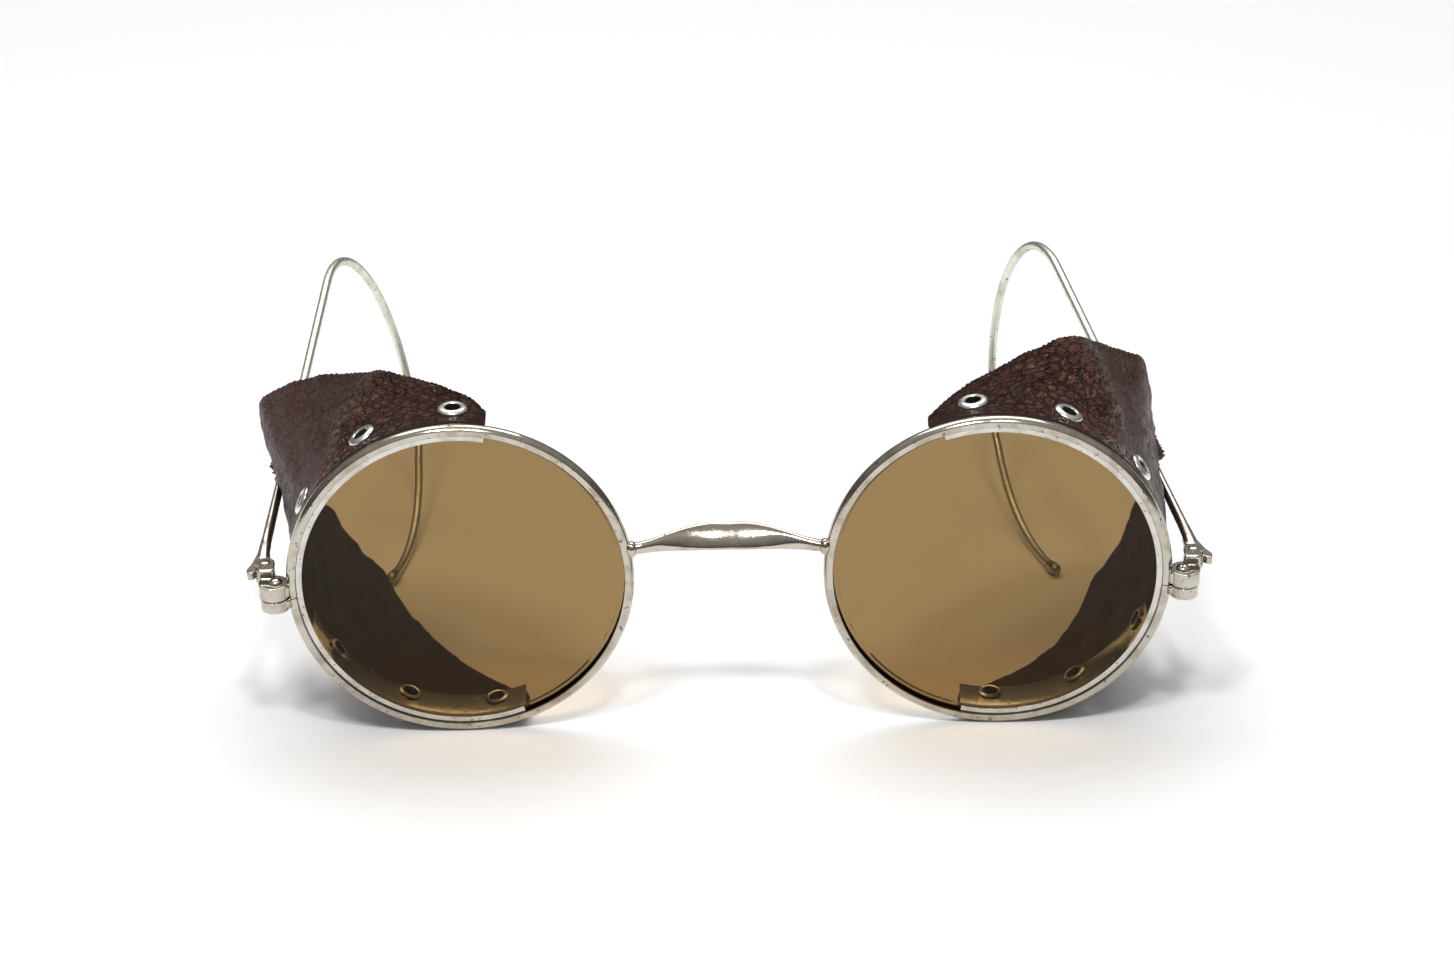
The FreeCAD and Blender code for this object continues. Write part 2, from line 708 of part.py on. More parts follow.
def make_temple_bar(side, rise):
    """Flat butt with knuckle and beak, necking into a round wire."""
    name = side + "_temple_bar"
    plate = padded(name + "_blade", [
        ("- 0.45*knuckle_radius", "0.75*knuckle_radius"),
        ("blade_offset - neck_half_width", "blade_reach"),
        ("blade_offset + neck_half_width", "blade_reach"),
        ("blade_offset + 0.85*knuckle_radius", "0.75*knuckle_radius"),
        ("blade_offset + 1.15*knuckle_radius", "- 0.45*knuckle_radius"),
        ("blade_offset + 0.85*knuckle_radius", "- 1.25*knuckle_radius"),
        ("blade_offset + 0.35*knuckle_radius", "- 1.1*knuckle_radius"),
        ("0.65*knuckle_radius", "- 0.45*knuckle_radius"),
    ], "knuckle_thick")
    knuckle = rod(name + "_knuckle", ("0", "0"), "knuckle_radius", "- 0.5*knuckle_thick", "0.5*knuckle_thick")
    sections = []
    rows = ((0.0, size("root_half_width"), size("root_half_height")),
            (size("neck_distance"), size("neck_half_width"), size("neck_half_height")),
            (size("bar_length"), size("bar_end_radius"), size("bar_end_radius")))
    for distance, wide, high in rows:
        flat = wide >= high
        ellipse = Part.Ellipse(FreeCAD.Vector(), max(wide, high) + 0.0001, min(wide, high))
        wire = Part.Wire(ellipse.toShape())
        roll = turn(Z_AXIS, 0 if flat else 90)
        wire.Placement = place(0, distance, 0, turn(X_AXIS, 90) * roll)
        sections.append(wire)
    shaft = add("Part::Feature", name + "_shaft")
    near, far = Part.makeLoft(sections[:2], True, True), Part.makeLoft(sections[1:], True, True)
    shaft.Shape = near.fuse(far)
    shaft.Placement = place(size("blade_offset"), size("wire_start"), 0, turn(X_AXIS, rise))
    hole = rod(name + "_hole", ("0", "0"), "pin_radius + pin_play", "- knuckle_thick", "knuckle_thick")
    solid = fused(name + "_solid", plate, knuckle, shaft)
    piece(cut(name + "_cut", solid, hole), name, hinge_frame(side), SIDES[side])


def temple_path(name, start):
    """Line along the wire from a distance, then the ear hook's tangent arcs, as one wire."""
    arcs, _ = hook_arcs()
    edges = [Part.LineSegment(FreeCAD.Vector(0, start, 0), arcs[0][0]).toShape()]
    edges += [Part.Arc(*points).toShape() for points in arcs]
    path = add("Part::Feature", name + "_path")
    path.Shape = Part.Wire(edges)
    return path


def swept(name, path, start, radius):
    """Round rod along a path that starts at a distance on the wire."""
    ring = add("Part::Circle", name + "_ring")
    bind(ring, "Radius", radius)
    ring.Placement = place(0, start, 0, turn(X_AXIS, -90))
    sweep = add("Part::Sweep", name + "_sweep")
    sweep.Sections = [ring]
    sweep.Spine = (path, [f"Edge{number}" for number in range(1, HOOK_ARCS + 2)])
    sweep.Solid = True
    sweep.Frenet = False
    return sweep


def make_cable(side, rise):
    """Coil-wound cable sleeve with its spring-wire core, from the bar's end to the hook's tip."""
    frame = wire_frame(side, rise)
    start = size("bar_length") + size("cable_play")
    path = temple_path(side + "_cable", start)
    sleeve = swept(side + "_cable_outer", path, start, "cable_radius")
    bore = swept(side + "_cable_bore", path, start, "core_radius + cable_play")
    piece(cut(side + "_cable_tube", sleeve, bore), side + "_ear_cable", frame)
    core = swept(side + "_core", path, start, "core_radius")
    piece(core, side + "_cable_core", frame)


def make_ferrule(side, rise):
    """Collar over the joint between bar and cable."""
    name = side + "_ferrule"
    half = "0.5*ferrule_length"
    corners = [
        ("cable_radius + cable_play", "- " + half),
        ("ferrule_radius - 0.2*cable_radius", "- " + half),
        ("ferrule_radius", "- " + half + " + 0.3*ferrule_radius"),
        ("ferrule_radius", half + " - 0.3*ferrule_radius"),
        ("ferrule_radius - 0.2*cable_radius", half),
        ("cable_radius + cable_play", half),
    ]
    body = revolved(name + "_body", corners)
    piece(body, name, wire_frame(side, rise) * place(0, size("bar_length"), 0))


def make_cable_tip(side, rise):
    """Blunt cap on the end of the cable, drawn pointing along +Y."""
    name = side + "_cable_tip"
    corners = [
        ("0", "cable_play"),
        ("cable_radius + cable_play", "cable_play"),
        ("cable_radius + cable_play", "- tip_cover"),
        ("tip_radius", "- tip_cover"),
        ("tip_radius", "tip_length - tip_cover - tip_radius"),
        ("0", "tip_length - tip_cover"),
    ]
    body = revolved(name + "_body", corners, {4: ("tip_radius", 1)})
    arcs, heading = hook_arcs()
    end = arcs[-1][-1]
    along = turn(X_AXIS, -math.degrees(heading))
    piece(body, name, wire_frame(side, rise) * place(end.x, end.y, end.z, along))


def build_all():
    fill_sheet()
    for side in SIDES:
        rise = resting_rise(side)
        make_eye_wire(side)
        make_lens(side)
        make_shield_band(side)
        make_eyelets(side)
        make_leather(side, rise)
        make_upper_lug(side)
        make_lower_lug(side)
        make_closing_screw(side)
        make_hinge_pin(side)
        make_temple_bar(side, rise)
        make_ferrule(side, rise)
        make_cable(side, rise)
        make_cable_tip(side, rise)
        print(side, "temple rises", round(rise, 2), "degrees from the lens axis")
    make_bridge()


def check_and_export():
    """Stop on any failed object, then write one STEP file for each sub-part."""
    doc.recompute()
    failed = [item.Name for item in doc.Objects if {"Invalid", "Error"} & set(item.State)]
    if failed:
        raise RuntimeError("failed objects: " + ", ".join(failed))
    os.makedirs("parts", exist_ok=True)
    for thing in PARTS:
        shape = thing.Shape
        if shape.isNull() or not shape.isValid() or shape.Volume <= 0:
            raise RuntimeError(thing.Label + " has no valid solid")
    for thing in PARTS:
        thing.Shape.exportStep(os.path.join("parts", thing.Label + ".step"))


build_all()
check_and_export()
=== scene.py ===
import math

import bmesh
import bpy
from mathutils import Matrix, Vector, noise


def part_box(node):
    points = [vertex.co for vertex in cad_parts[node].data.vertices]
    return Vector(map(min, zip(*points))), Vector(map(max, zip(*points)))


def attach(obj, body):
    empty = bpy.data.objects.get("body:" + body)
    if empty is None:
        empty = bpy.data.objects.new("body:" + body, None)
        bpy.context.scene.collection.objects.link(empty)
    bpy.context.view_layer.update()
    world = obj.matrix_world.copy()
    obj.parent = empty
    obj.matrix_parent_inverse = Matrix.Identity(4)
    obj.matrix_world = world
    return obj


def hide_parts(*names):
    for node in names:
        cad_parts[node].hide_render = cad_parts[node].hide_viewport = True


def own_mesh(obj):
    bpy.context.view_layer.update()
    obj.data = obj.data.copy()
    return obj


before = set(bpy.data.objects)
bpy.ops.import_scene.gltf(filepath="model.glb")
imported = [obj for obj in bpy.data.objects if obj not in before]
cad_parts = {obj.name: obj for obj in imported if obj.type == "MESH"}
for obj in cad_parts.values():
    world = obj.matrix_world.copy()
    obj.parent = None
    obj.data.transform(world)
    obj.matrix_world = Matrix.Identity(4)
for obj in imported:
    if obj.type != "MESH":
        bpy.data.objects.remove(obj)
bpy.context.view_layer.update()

# Lengths are in millimetres until a piece is finished, when it is scaled to metres.
MM = 0.001
SIDES = {"right": -1, "left": 1}
TILT, WRAP = 5.2, 2.0
PIVOT = (26.0, 3.35, 0.35)
TOE = {"right": 5.5, "left": 15.3}
RISE = {"right": 12.13, "left": 13.48}
ROLL = {"right": 15.4, "left": 7.0}
BLADE_OFFSET, WIRE_START, BAR_LENGTH = 0.95, 2.4, 26.0
STRAIGHT, HOOK_TURN, HOOK_ARCS = 62.0, 206.5, 6
HOOK_START_RADIUS, HOOK_END_RADIUS = 15.4, 43.0
CABLE_RADIUS, COIL_PITCH = 0.65, 0.42
CLOCK = {"right": -5.0, "left": 3.5}
EYELET_ANGLES = (31.0, 63.0, 95.0)
EYELET_DEPTH = 4.9
HALF_SPAN = 106.0
HIDE_OUTER, HIDE_THICK, HIDE_FRONT, SKIRT_END = 22.85, 1.1, 1.35, 6.5
# Rear edge of each hide, top to bottom: clock angle, outer radius, depth behind the lens.
REAR_EDGE = {
    "right": ((101.0, 22.8, 4.4), (99.0, 22.8, 6.0), (96.5, 22.8, 8.0), (82.0, 22.9, 13.2),
              (62.0, 23.5, 20.4), (42.0, 26.6, 26.0), (25.0, 31.0, 29.3), (8.0, 27.0, 29.6),
              (-14.0, 20.6, 30.0), (-46.0, 18.6, 26.5), (-74.0, 21.0, 18.5), (-111.0, 22.8, 5.0)),
    "left": ((114.0, 22.8, 3.8), (109.0, 22.8, 6.3), (104.5, 22.8, 8.6), (92.0, 22.8, 13.4),
             (70.0, 24.4, 22.6), (55.0, 25.6, 26.0), (41.0, 27.1, 28.4), (25.0, 23.9, 28.0),
             (-16.0, 21.6, 28.3), (-45.0, 21.2, 24.0), (-65.0, 23.2, 16.5), (-102.5, 22.8, 4.5)),
}
HIDE_MIDDLE = 22.3
# The temple's slot: the run of the wire that it clears, its radius, and how far it lifts the hide.
SLOT_RUN, SLOT_RADIUS, SLOT_ROOM = (4.0, 60.0), 1.45, 1.75
# Degrees each temple can open past rest inside its slot.
SLOT_PLAY = {"right": (0.0, 2.0, 4.0), "left": (0.0, 1.5)}
# Notch in the clamped part of the hide where the temple folds across: clock angles and front depth.
NOTCH, NOTCH_FRONT = (-3.0, 6.5), 3.2
# The pressed-up fold in each hide: clock angle at the band, clock angle at the rear edge, height.
FOLD = {"right": (37.0, 66.0, 0.55), "left": (40.0, 64.0, 0.75)}


# ---------------------------------------------------------------- frames


def turned(axis, degrees):
    return Matrix.Rotation(math.radians(degrees), 4, axis)


def moved(x, y, z):
    return Matrix.Translation((x, y, z))


def lens_frame(side):
    """Lens centre, with Y back along the lens axis."""
    low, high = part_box(side + "_eye_wire")
    return Matrix.Translation((low + high) / (2 * MM)) @ turned("X", TILT) @ turned("Z", -SIDES[side] * WRAP)


def hinge_frame(side):
    sign = SIDES[side]
    return lens_frame(side) @ moved(sign * PIVOT[0], PIVOT[1], PIVOT[2]) @ turned("Z", sign * TOE[side])


def wire_frame(side):
    """Where the temple's wire leaves its blade, with Y along the wire."""
    sign = SIDES[side]
    start = moved(sign * BLADE_OFFSET, WIRE_START, 0)
    return hinge_frame(side) @ start @ turned("X", RISE[side]) @ turned("Y", sign * ROLL[side])


def radial_frame(side, clock, depth, out):
    """A point on the shield, with Z straight out from the lens axis."""
    around = turned("Y", -clock if SIDES[side] > 0 else 180 + clock)
    return lens_frame(side) @ around @ moved(out, depth, 0) @ turned("Y", 90)


# ---------------------------------------------------------------- building pieces


def mesh_piece(name, bm, body, stands_for, materials, at=None, recalc=True, smooth=30):
    """Turn a bmesh in millimetres into a finished object in metres that rides on a body."""
    bmesh.ops.transform(bm, matrix=Matrix.Scale(MM, 4) @ (at or Matrix.Identity(4)), verts=bm.verts)
    if recalc:
        bmesh.ops.recalc_face_normals(bm, faces=bm.faces)
    mesh = bpy.data.meshes.new(name)
    for face in bm.faces:
        face.smooth = True
    for edge in bm.edges:
        if len(edge.link_faces) == 2 and edge.calc_face_angle() > math.radians(smooth):
            edge.smooth = False
    bm.to_mesh(mesh)
    bm.free()
    thing = bpy.data.objects.new(name, mesh)
    bpy.context.scene.collection.objects.link(thing)
    for material in materials:
        mesh.materials.append(material)
    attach(thing, body)
    if stands_for:
        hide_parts(*stands_for)
    return thing


def settle(thing):
    """Apply every modifier on a piece."""
    bpy.context.view_layer.update()
    solved = thing.evaluated_get(bpy.context.evaluated_depsgraph_get())
    mesh = bpy.data.meshes.new_from_object(solved)
    old = thing.data
    thing.modifiers.clear()
    thing.data = mesh
    bpy.data.meshes.remove(old)
    mesh.name = thing.name


def wire_loop(bm, points, closed=True):
    """Edges through (x, y) points, as a bare outline to spin or fill."""
    verts = [bm.verts.new((x, y, 0)) for x, y in points]
    pairs = list(zip(verts, verts[1:])) + ([(verts[-1], verts[0])] if closed else [])
    edges = [bm.edges.new(pair) for pair in pairs]
    return verts + edges


def spun(points, degrees=360.0, steps=96, begin=0.0, closed=True, bm=None):
    """Outline of (radius, depth) points turned about the Y axis, capped if it stops short."""
    bm = bm or bmesh.new()
    geometry = wire_loop(bm, points, closed)
    verts = [item for item in geometry if isinstance(item, bmesh.types.BMVert)]
    bmesh.ops.rotate(bm, verts=verts, cent=(0, 0, 0), matrix=Matrix.Rotation(math.radians(begin), 3, "Y"))
    full = degrees >= 360.0
    bmesh.ops.spin(bm, geom=geometry, cent=(0, 0, 0), axis=(0, 1, 0), dvec=(0, 0, 0),
                   angle=math.radians(degrees), steps=steps, use_merge=full, use_duplicate=False)
    bmesh.ops.remove_doubles(bm, verts=bm.verts, dist=0.0005)
    if not full:
        bmesh.ops.holes_fill(bm, edges=[edge for edge in bm.edges if edge.is_boundary], sides=0)
    return bm


def soften(bm, offset, segments=2, angle=35):
    """Round the sharp edges of a mesh."""
    bmesh.ops.recalc_face_normals(bm, faces=bm.faces)
    sharp = [edge for edge in bm.edges
             if len(edge.link_faces) == 2 and edge.calc_face_angle() > math.radians(angle)]
    bmesh.ops.bevel(bm, geom=sharp, offset=offset, offset_type="OFFSET", affect="EDGES", segments=segments,
                    profile=0.5, clamp_overlap=True, material=-1)


def lofted(stations, around=24, bm=None):
    """Closed tube through stations of (matrix, half width, half height), extruded ring by ring."""
    bm = bm or bmesh.new()
    shapes = [at @ Matrix.Diagonal((wide, high, 1, 1)) for at, wide, high in stations]
    ring = bmesh.ops.create_circle(bm, segments=around, radius=1.0, cap_ends=False, matrix=shapes[0])["verts"]
    edges = list({edge for vert in ring for edge in vert.link_edges})
    first = list(edges)
    for before, after in zip(shapes, shapes[1:]):
        made = bmesh.ops.extrude_edge_only(bm, edges=edges)["geom"]
        verts = [item for item in made if isinstance(item, bmesh.types.BMVert)]
        edges = [item for item in made if isinstance(item, bmesh.types.BMEdge)]
        bmesh.ops.transform(bm, matrix=after @ before.inverted(), verts=verts)
    for loop in (first, edges):
        bmesh.ops.edgeloop_fill(bm, edges=loop)
    return bm


def eased(rows, count):
    """Rows of numbers resampled along a smooth curve through them."""
    result = []
    for step in range(count + 1):
        place = step / count * (len(rows) - 1)
        index = min(int(place), len(rows) - 2)
        share = place - index
        nearby = [rows[max(0, min(len(rows) - 1, index + shift))] for shift in (-1, 0, 1, 2)]
        result.append([0.5 * (2 * b + (c - a) * share + (2 * a - 5 * b + 4 * c - d) * share ** 2
                              + (3 * b - a - 3 * c + d) * share ** 3) for a, b, c, d in zip(*nearby)])
    return result


def bar(bm, low, high, bevel=0.15, segments=3):
    """A block with rounded edges, from its low corner to its high one."""
    middle = [(a + b) / 2 for a, b in zip(low, high)]
    shape = moved(*middle) @ Matrix.Diagonal([b - a for a, b in zip(low, high)] + [1])
    verts = bmesh.ops.create_cube(bm, size=1.0, matrix=shape)["verts"]
    edges = list({edge for vert in verts for edge in vert.link_edges})
    bmesh.ops.bevel(bm, geom=edges, offset=bevel, offset_type="OFFSET", affect="EDGES", segments=segments,
                    profile=0.5, clamp_overlap=True, material=-1)


def post(bm, x, y, radius, bottom, top, sides=32):
    """An upright cylinder."""
    shape = moved(x, y, (bottom + top) / 2)
    bmesh.ops.create_cone(bm, cap_ends=True, segments=sides, radius1=radius, radius2=radius,
                          depth=top - bottom, matrix=shape)


def cast(thing, grain, smoothing):
    """Fuse a piece's overlapping solids into one soft-edged casting."""
    fuse = thing.modifiers.new("fuse", "REMESH")
    fuse.mode = "VOXEL"
    fuse.voxel_size = grain * MM
    fuse.use_smooth_shade = True
    relax = thing.modifiers.new("relax", "SMOOTH")
    relax.factor = 0.5
    relax.iterations = smoothing
    settle(thing)
    for polygon in thing.data.polygons:
        polygon.use_smooth = True


def cut_away(thing, bm):
    """Subtract a closed bmesh, already in metres and in place, from a piece."""
    mesh = bpy.data.meshes.new("cutter")
    bm.to_mesh(mesh)
    bm.free()
    cutter = bpy.data.objects.new("cutter", mesh)
    bpy.context.scene.collection.objects.link(cutter)
    gap = thing.modifiers.new("gap", "BOOLEAN")
    gap.operation = "DIFFERENCE"
    gap.solver = "EXACT"
    gap.object = cutter
    settle(thing)
    bpy.data.objects.remove(cutter)


def bored(thing, at, radius, length):
    """Cut a round hole through a piece along the Z of a frame."""
    bm = bmesh.new()
    bmesh.ops.create_cone(bm, cap_ends=True, segments=40, radius1=radius, radius2=radius, depth=length)
    bmesh.ops.transform(bm, matrix=Matrix.Scale(MM, 4) @ at, verts=bm.verts)
    cut_away(thing, bm)


def squared(thing, at, size):
    """Cut a block out of a piece."""
    bm = bmesh.new()
    bmesh.ops.create_cube(bm, size=1.0, matrix=Matrix.Scale(MM, 4) @ at @ Matrix.Diagonal((*size, 1)))
    cut_away(thing, bm)


# ---------------------------------------------------------------- shader groups and materials


def socket(tree, name, way, kind="NodeSocketFloat", value=None):
    made = tree.interface.new_socket(name=name, in_out=way, socket_type=kind)
    if value is not None:
        made.default_value = value
    return made


def shader_node(tree, kind, **values):
    """A node with its input sockets or properties set by name; spaces become underscores."""
    made = tree.nodes.new(kind)
    for key, value in values.items():
        name = key.replace("_", " ")
        if name in made.inputs:
            made.inputs[name].default_value = value
        else:
            setattr(made, key, value)
    return made


def maths(tree, operation, first, second=None):
    made = tree.nodes.new("ShaderNodeMath")
    made.operation = operation
    for slot, value in zip(made.inputs, (first, second)):
        if value is None:
            continue
        if isinstance(value, (int, float)):
            slot.default_value = value
        else:
            tree.links.new(value, slot)
    return made.outputs[0]


def ranged(tree, value, low, high, to_low=0.0, to_high=1.0):
    made = shader_node(tree, "ShaderNodeMapRange", clamp=True)
    tree.links.new(value, made.inputs[0])
    for index, number in zip((1, 2, 3, 4), (low, high, to_low, to_high)):
        made.inputs[index].default_value = number
    return made.outputs[0]


def wear_group():
    """Tarnish, fine scratches from rubbing and grey specks on old metal."""
    tree = bpy.data.node_groups.new("worn_metal", "ShaderNodeTree")
    socket(tree, "Vector", "INPUT", "NodeSocketVector")
    socket(tree, "Patch Scale", "INPUT", value=300.0)
    socket(tree, "Speck Scale", "INPUT", value=1500.0)
    socket(tree, "Tarnish", "OUTPUT")
    socket(tree, "Specks", "OUTPUT")
    socket(tree, "Scratches", "OUTPUT")
    ins, outs = tree.nodes.new("NodeGroupInput"), tree.nodes.new("NodeGroupOutput")
    patches = shader_node(tree, "ShaderNodeTexNoise", Detail=6.0, Roughness=0.62)
    specks = shader_node(tree, "ShaderNodeTexNoise", Detail=3.0, Roughness=0.5)
    stretched = shader_node(tree, "ShaderNodeMapping", Scale=(0.35, 2.0, 2.0))
    lines = shader_node(tree, "ShaderNodeTexNoise", Detail=2.0, Roughness=0.7)
    for texture, scale in ((patches, "Patch Scale"), (specks, "Speck Scale"), (lines, "Speck Scale")):
        tree.links.new(ins.outputs[scale], texture.inputs["Scale"])
    tree.links.new(ins.outputs["Vector"], patches.inputs["Vector"])
    tree.links.new(ins.outputs["Vector"], specks.inputs["Vector"])
    tree.links.new(ins.outputs["Vector"], stretched.inputs["Vector"])
    tree.links.new(stretched.outputs[0], lines.inputs["Vector"])
    tree.links.new(ranged(tree, patches.outputs["Fac"], 0.46, 0.68), outs.inputs["Tarnish"])
    tree.links.new(ranged(tree, specks.outputs["Fac"], 0.64, 0.72), outs.inputs["Specks"])
    tree.links.new(lines.outputs["Fac"], outs.inputs["Scratches"])
    return tree


def hide_group():
    """Pebbled grain: rounded cells of two sizes with creases between them, and mottled colour."""
    tree = bpy.data.node_groups.new("hide_grain", "ShaderNodeTree")
    socket(tree, "Vector", "INPUT", "NodeSocketVector")
    socket(tree, "Pebble Scale", "INPUT", value=90.0)
    socket(tree, "Wrinkle Scale", "INPUT", value=30.0)
    socket(tree, "Height", "OUTPUT")
    socket(tree, "Creases", "OUTPUT")
    socket(tree, "Mottle", "OUTPUT")
    ins, outs = tree.nodes.new("NodeGroupInput"), tree.nodes.new("NodeGroupOutput")
    warp = shader_node(tree, "ShaderNodeTexNoise", Detail=3.0)
    tree.links.new(ins.outputs["Vector"], warp.inputs["Vector"])
    tree.links.new(ins.outputs["Wrinkle Scale"], warp.inputs["Scale"])
    push = shader_node(tree, "ShaderNodeVectorMath", operation="MULTIPLY_ADD")
    push.inputs[1].default_value = (0.02, 0.02, 0.02)
    tree.links.new(warp.outputs["Color"], push.inputs[0])
    tree.links.new(ins.outputs["Vector"], push.inputs[2])
    cells = []
    for factor in (1.0, 2.3):
        cell = shader_node(tree, "ShaderNodeTexVoronoi", feature="DISTANCE_TO_EDGE", Randomness=0.9)
        tree.links.new(push.outputs[0], cell.inputs["Vector"])
        tree.links.new(maths(tree, "MULTIPLY", ins.outputs["Pebble Scale"], factor), cell.inputs["Scale"])
        cells.append(ranged(tree, cell.outputs["Distance"], 0.0, 0.28))
    both = maths(tree, "ADD", maths(tree, "MULTIPLY", cells[0], 0.7), maths(tree, "MULTIPLY", cells[1], 0.3))
    height = maths(tree, "ADD", both, maths(tree, "MULTIPLY", warp.outputs["Fac"], 0.8))
    tree.links.new(height, outs.inputs["Height"])
    tree.links.new(maths(tree, "SUBTRACT", 1.0, cells[0]), outs.inputs["Creases"])
    mottle = shader_node(tree, "ShaderNodeTexNoise", Detail=5.0, Roughness=0.65)
    tree.links.new(ins.outputs["Vector"], mottle.inputs["Vector"])
    tree.links.new(maths(tree, "MULTIPLY", ins.outputs["Wrinkle Scale"], 1.7), mottle.inputs["Scale"])
    tree.links.new(mottle.outputs["Fac"], outs.inputs["Mottle"])
    return tree


WORN_METAL = wear_group()
HIDE_GRAIN = hide_group()


def new_material(name):
    material = bpy.data.materials.new(name)
    material.use_nodes = True
    tree = material.node_tree
    return material, tree, tree.nodes["Principled BSDF"]


def coloured(tree, factor, low, high):
    made = shader_node(tree, "ShaderNodeMix", data_type="RGBA")
    tree.links.new(factor, made.inputs["Factor"])
    for index, colour in ((6, low), (7, high)):
        if hasattr(colour, "node"):
            tree.links.new(colour, made.inputs[index])
        else:
            made.inputs[index].default_value = (*colour, 1)
    return made.outputs[2]


def raised(tree, shader, height, strength, distance):
    bump = shader_node(tree, "ShaderNodeBump", Strength=strength, Distance=distance)
    tree.links.new(height, bump.inputs["Height"])
    tree.links.new(bump.outputs[0], shader.inputs["Normal"])


def old_metal(name, clean, dull, speck, smooth, rough, patch=300.0, specks=1500.0):
    """Metal with its own tarnish colours."""
    material, tree, shader = new_material(name)
    place = shader_node(tree, "ShaderNodeTexCoord")
    worn = shader_node(tree, "ShaderNodeGroup", node_tree=WORN_METAL)
    worn.inputs["Patch Scale"].default_value = patch
    worn.inputs["Speck Scale"].default_value = specks
    tree.links.new(place.outputs["Object"], worn.inputs["Vector"])
    shader.inputs["Metallic"].default_value = 1.0
    body = coloured(tree, worn.outputs["Tarnish"], clean, dull)
    tree.links.new(coloured(tree, worn.outputs["Specks"], body, speck), shader.inputs["Base Color"])
    gloss = maths(tree, "ADD", ranged(tree, worn.outputs["Tarnish"], 0, 1, smooth, rough),
                  maths(tree, "MULTIPLY", worn.outputs["Specks"], 0.25))
    tree.links.new(gloss, shader.inputs["Roughness"])
    raised(tree, shader, worn.outputs["Scratches"], 0.05, 0.0002)
    return material


def leather(name, light, dark, crease_shade, pebble, gloss):
    """Grained outside of the hide: pebbled on top, finely wrinkled at the side, with painted shade in the
    creases and on the side panel and a painted highlight along the fold.
    """
    material, tree, shader = new_material(name)
    place = shader_node(tree, "ShaderNodeTexCoord")
    panel = shader_node(tree, "ShaderNodeAttribute", attribute_name="panel").outputs["Fac"]
    fold = shader_node(tree, "ShaderNodeAttribute", attribute_name="fold").outputs["Fac"]
    grain = shader_node(tree, "ShaderNodeGroup", node_tree=HIDE_GRAIN)
    grain.inputs["Pebble Scale"].default_value = pebble
    grain.inputs["Wrinkle Scale"].default_value = pebble * 0.35
    tree.links.new(place.outputs["UV"], grain.inputs["Vector"])
    drawn = shader_node(tree, "ShaderNodeMapping", Scale=(240.0, 90.0, 1.0), Rotation=(0.0, 0.0, 0.35))
    tree.links.new(place.outputs["UV"], drawn.inputs["Vector"])
    wrinkles = shader_node(tree, "ShaderNodeTexNoise", Scale=1.0, Detail=4.0, Roughness=0.6)
    tree.links.new(drawn.outputs[0], wrinkles.inputs["Vector"])
    tone = ranged(tree, grain.outputs["Mottle"], 0.38, 0.62)
    body = coloured(tree, tone, dark, light)
    # Painted shade: the creases between the pebbles are darkened almost to black.
    deep = ranged(tree, grain.outputs["Creases"], 0.35, 1.0, 0.0, 0.9)
    body = coloured(tree, deep, body, crease_shade)
    # Painted shade: the side panel, turned away from the lamps, is coloured darker.
    body = coloured(tree, maths(tree, "MULTIPLY", panel, 0.7), body, dark)
    # Painted highlight: pale streaks along the fold ridge, where the lamps catch it.
    fold_highlight = maths(tree, "MULTIPLY", fold, ranged(tree, wrinkles.outputs["Fac"], 0.44, 0.62, 0.0, 0.5))
    tree.links.new(coloured(tree, fold_highlight, body, (0.21, 0.15, 0.13)), shader.inputs["Base Color"])
    shine = ranged(tree, grain.outputs["Mottle"], 0.4, 0.65, gloss, gloss + 0.25)
    dulled = maths(tree, "ADD", shine, maths(tree, "MULTIPLY", panel, 0.12))
    tree.links.new(dulled, shader.inputs["Roughness"])
    shader.inputs["Specular IOR Level"].default_value = 0.28
    smooth_side = maths(tree, "MULTIPLY_ADD", panel, -0.65)
    smooth_side.node.inputs[2].default_value = 1.0
    pebbles = maths(tree, "MULTIPLY", grain.outputs["Height"], smooth_side)
    pulled = maths(tree, "MULTIPLY", wrinkles.outputs["Fac"], maths(tree, "ADD", panel, fold))
    raised(tree, shader, maths(tree, "ADD", pebbles, pulled), 1.0, 0.0016)
    return material


def suede(name, light, dark):
    """Napped inside of the hide."""
    material, tree, shader = new_material(name)
    place = shader_node(tree, "ShaderNodeTexCoord")
    nap = shader_node(tree, "ShaderNodeTexNoise", Scale=1400.0, Detail=4.0, Roughness=0.6)
    patch = shader_node(tree, "ShaderNodeTexNoise", Scale=45.0, Detail=3.0)
    for texture in (nap, patch):
        tree.links.new(place.outputs["UV"], texture.inputs["Vector"])
    tone = maths(tree, "MULTIPLY", nap.outputs["Fac"], maths(tree, "ADD", patch.outputs["Fac"], 0.5))
    tree.links.new(coloured(tree, ranged(tree, tone, 0.3, 0.75), dark, light), shader.inputs["Base Color"])
    shader.inputs["Roughness"].default_value = 0.95
    shader.inputs["Sheen Weight"].default_value = 0.08
    shader.inputs["Sheen Roughness"].default_value = 0.6
    raised(tree, shader, nap.outputs["Fac"], 0.4, 0.0001)
    return material


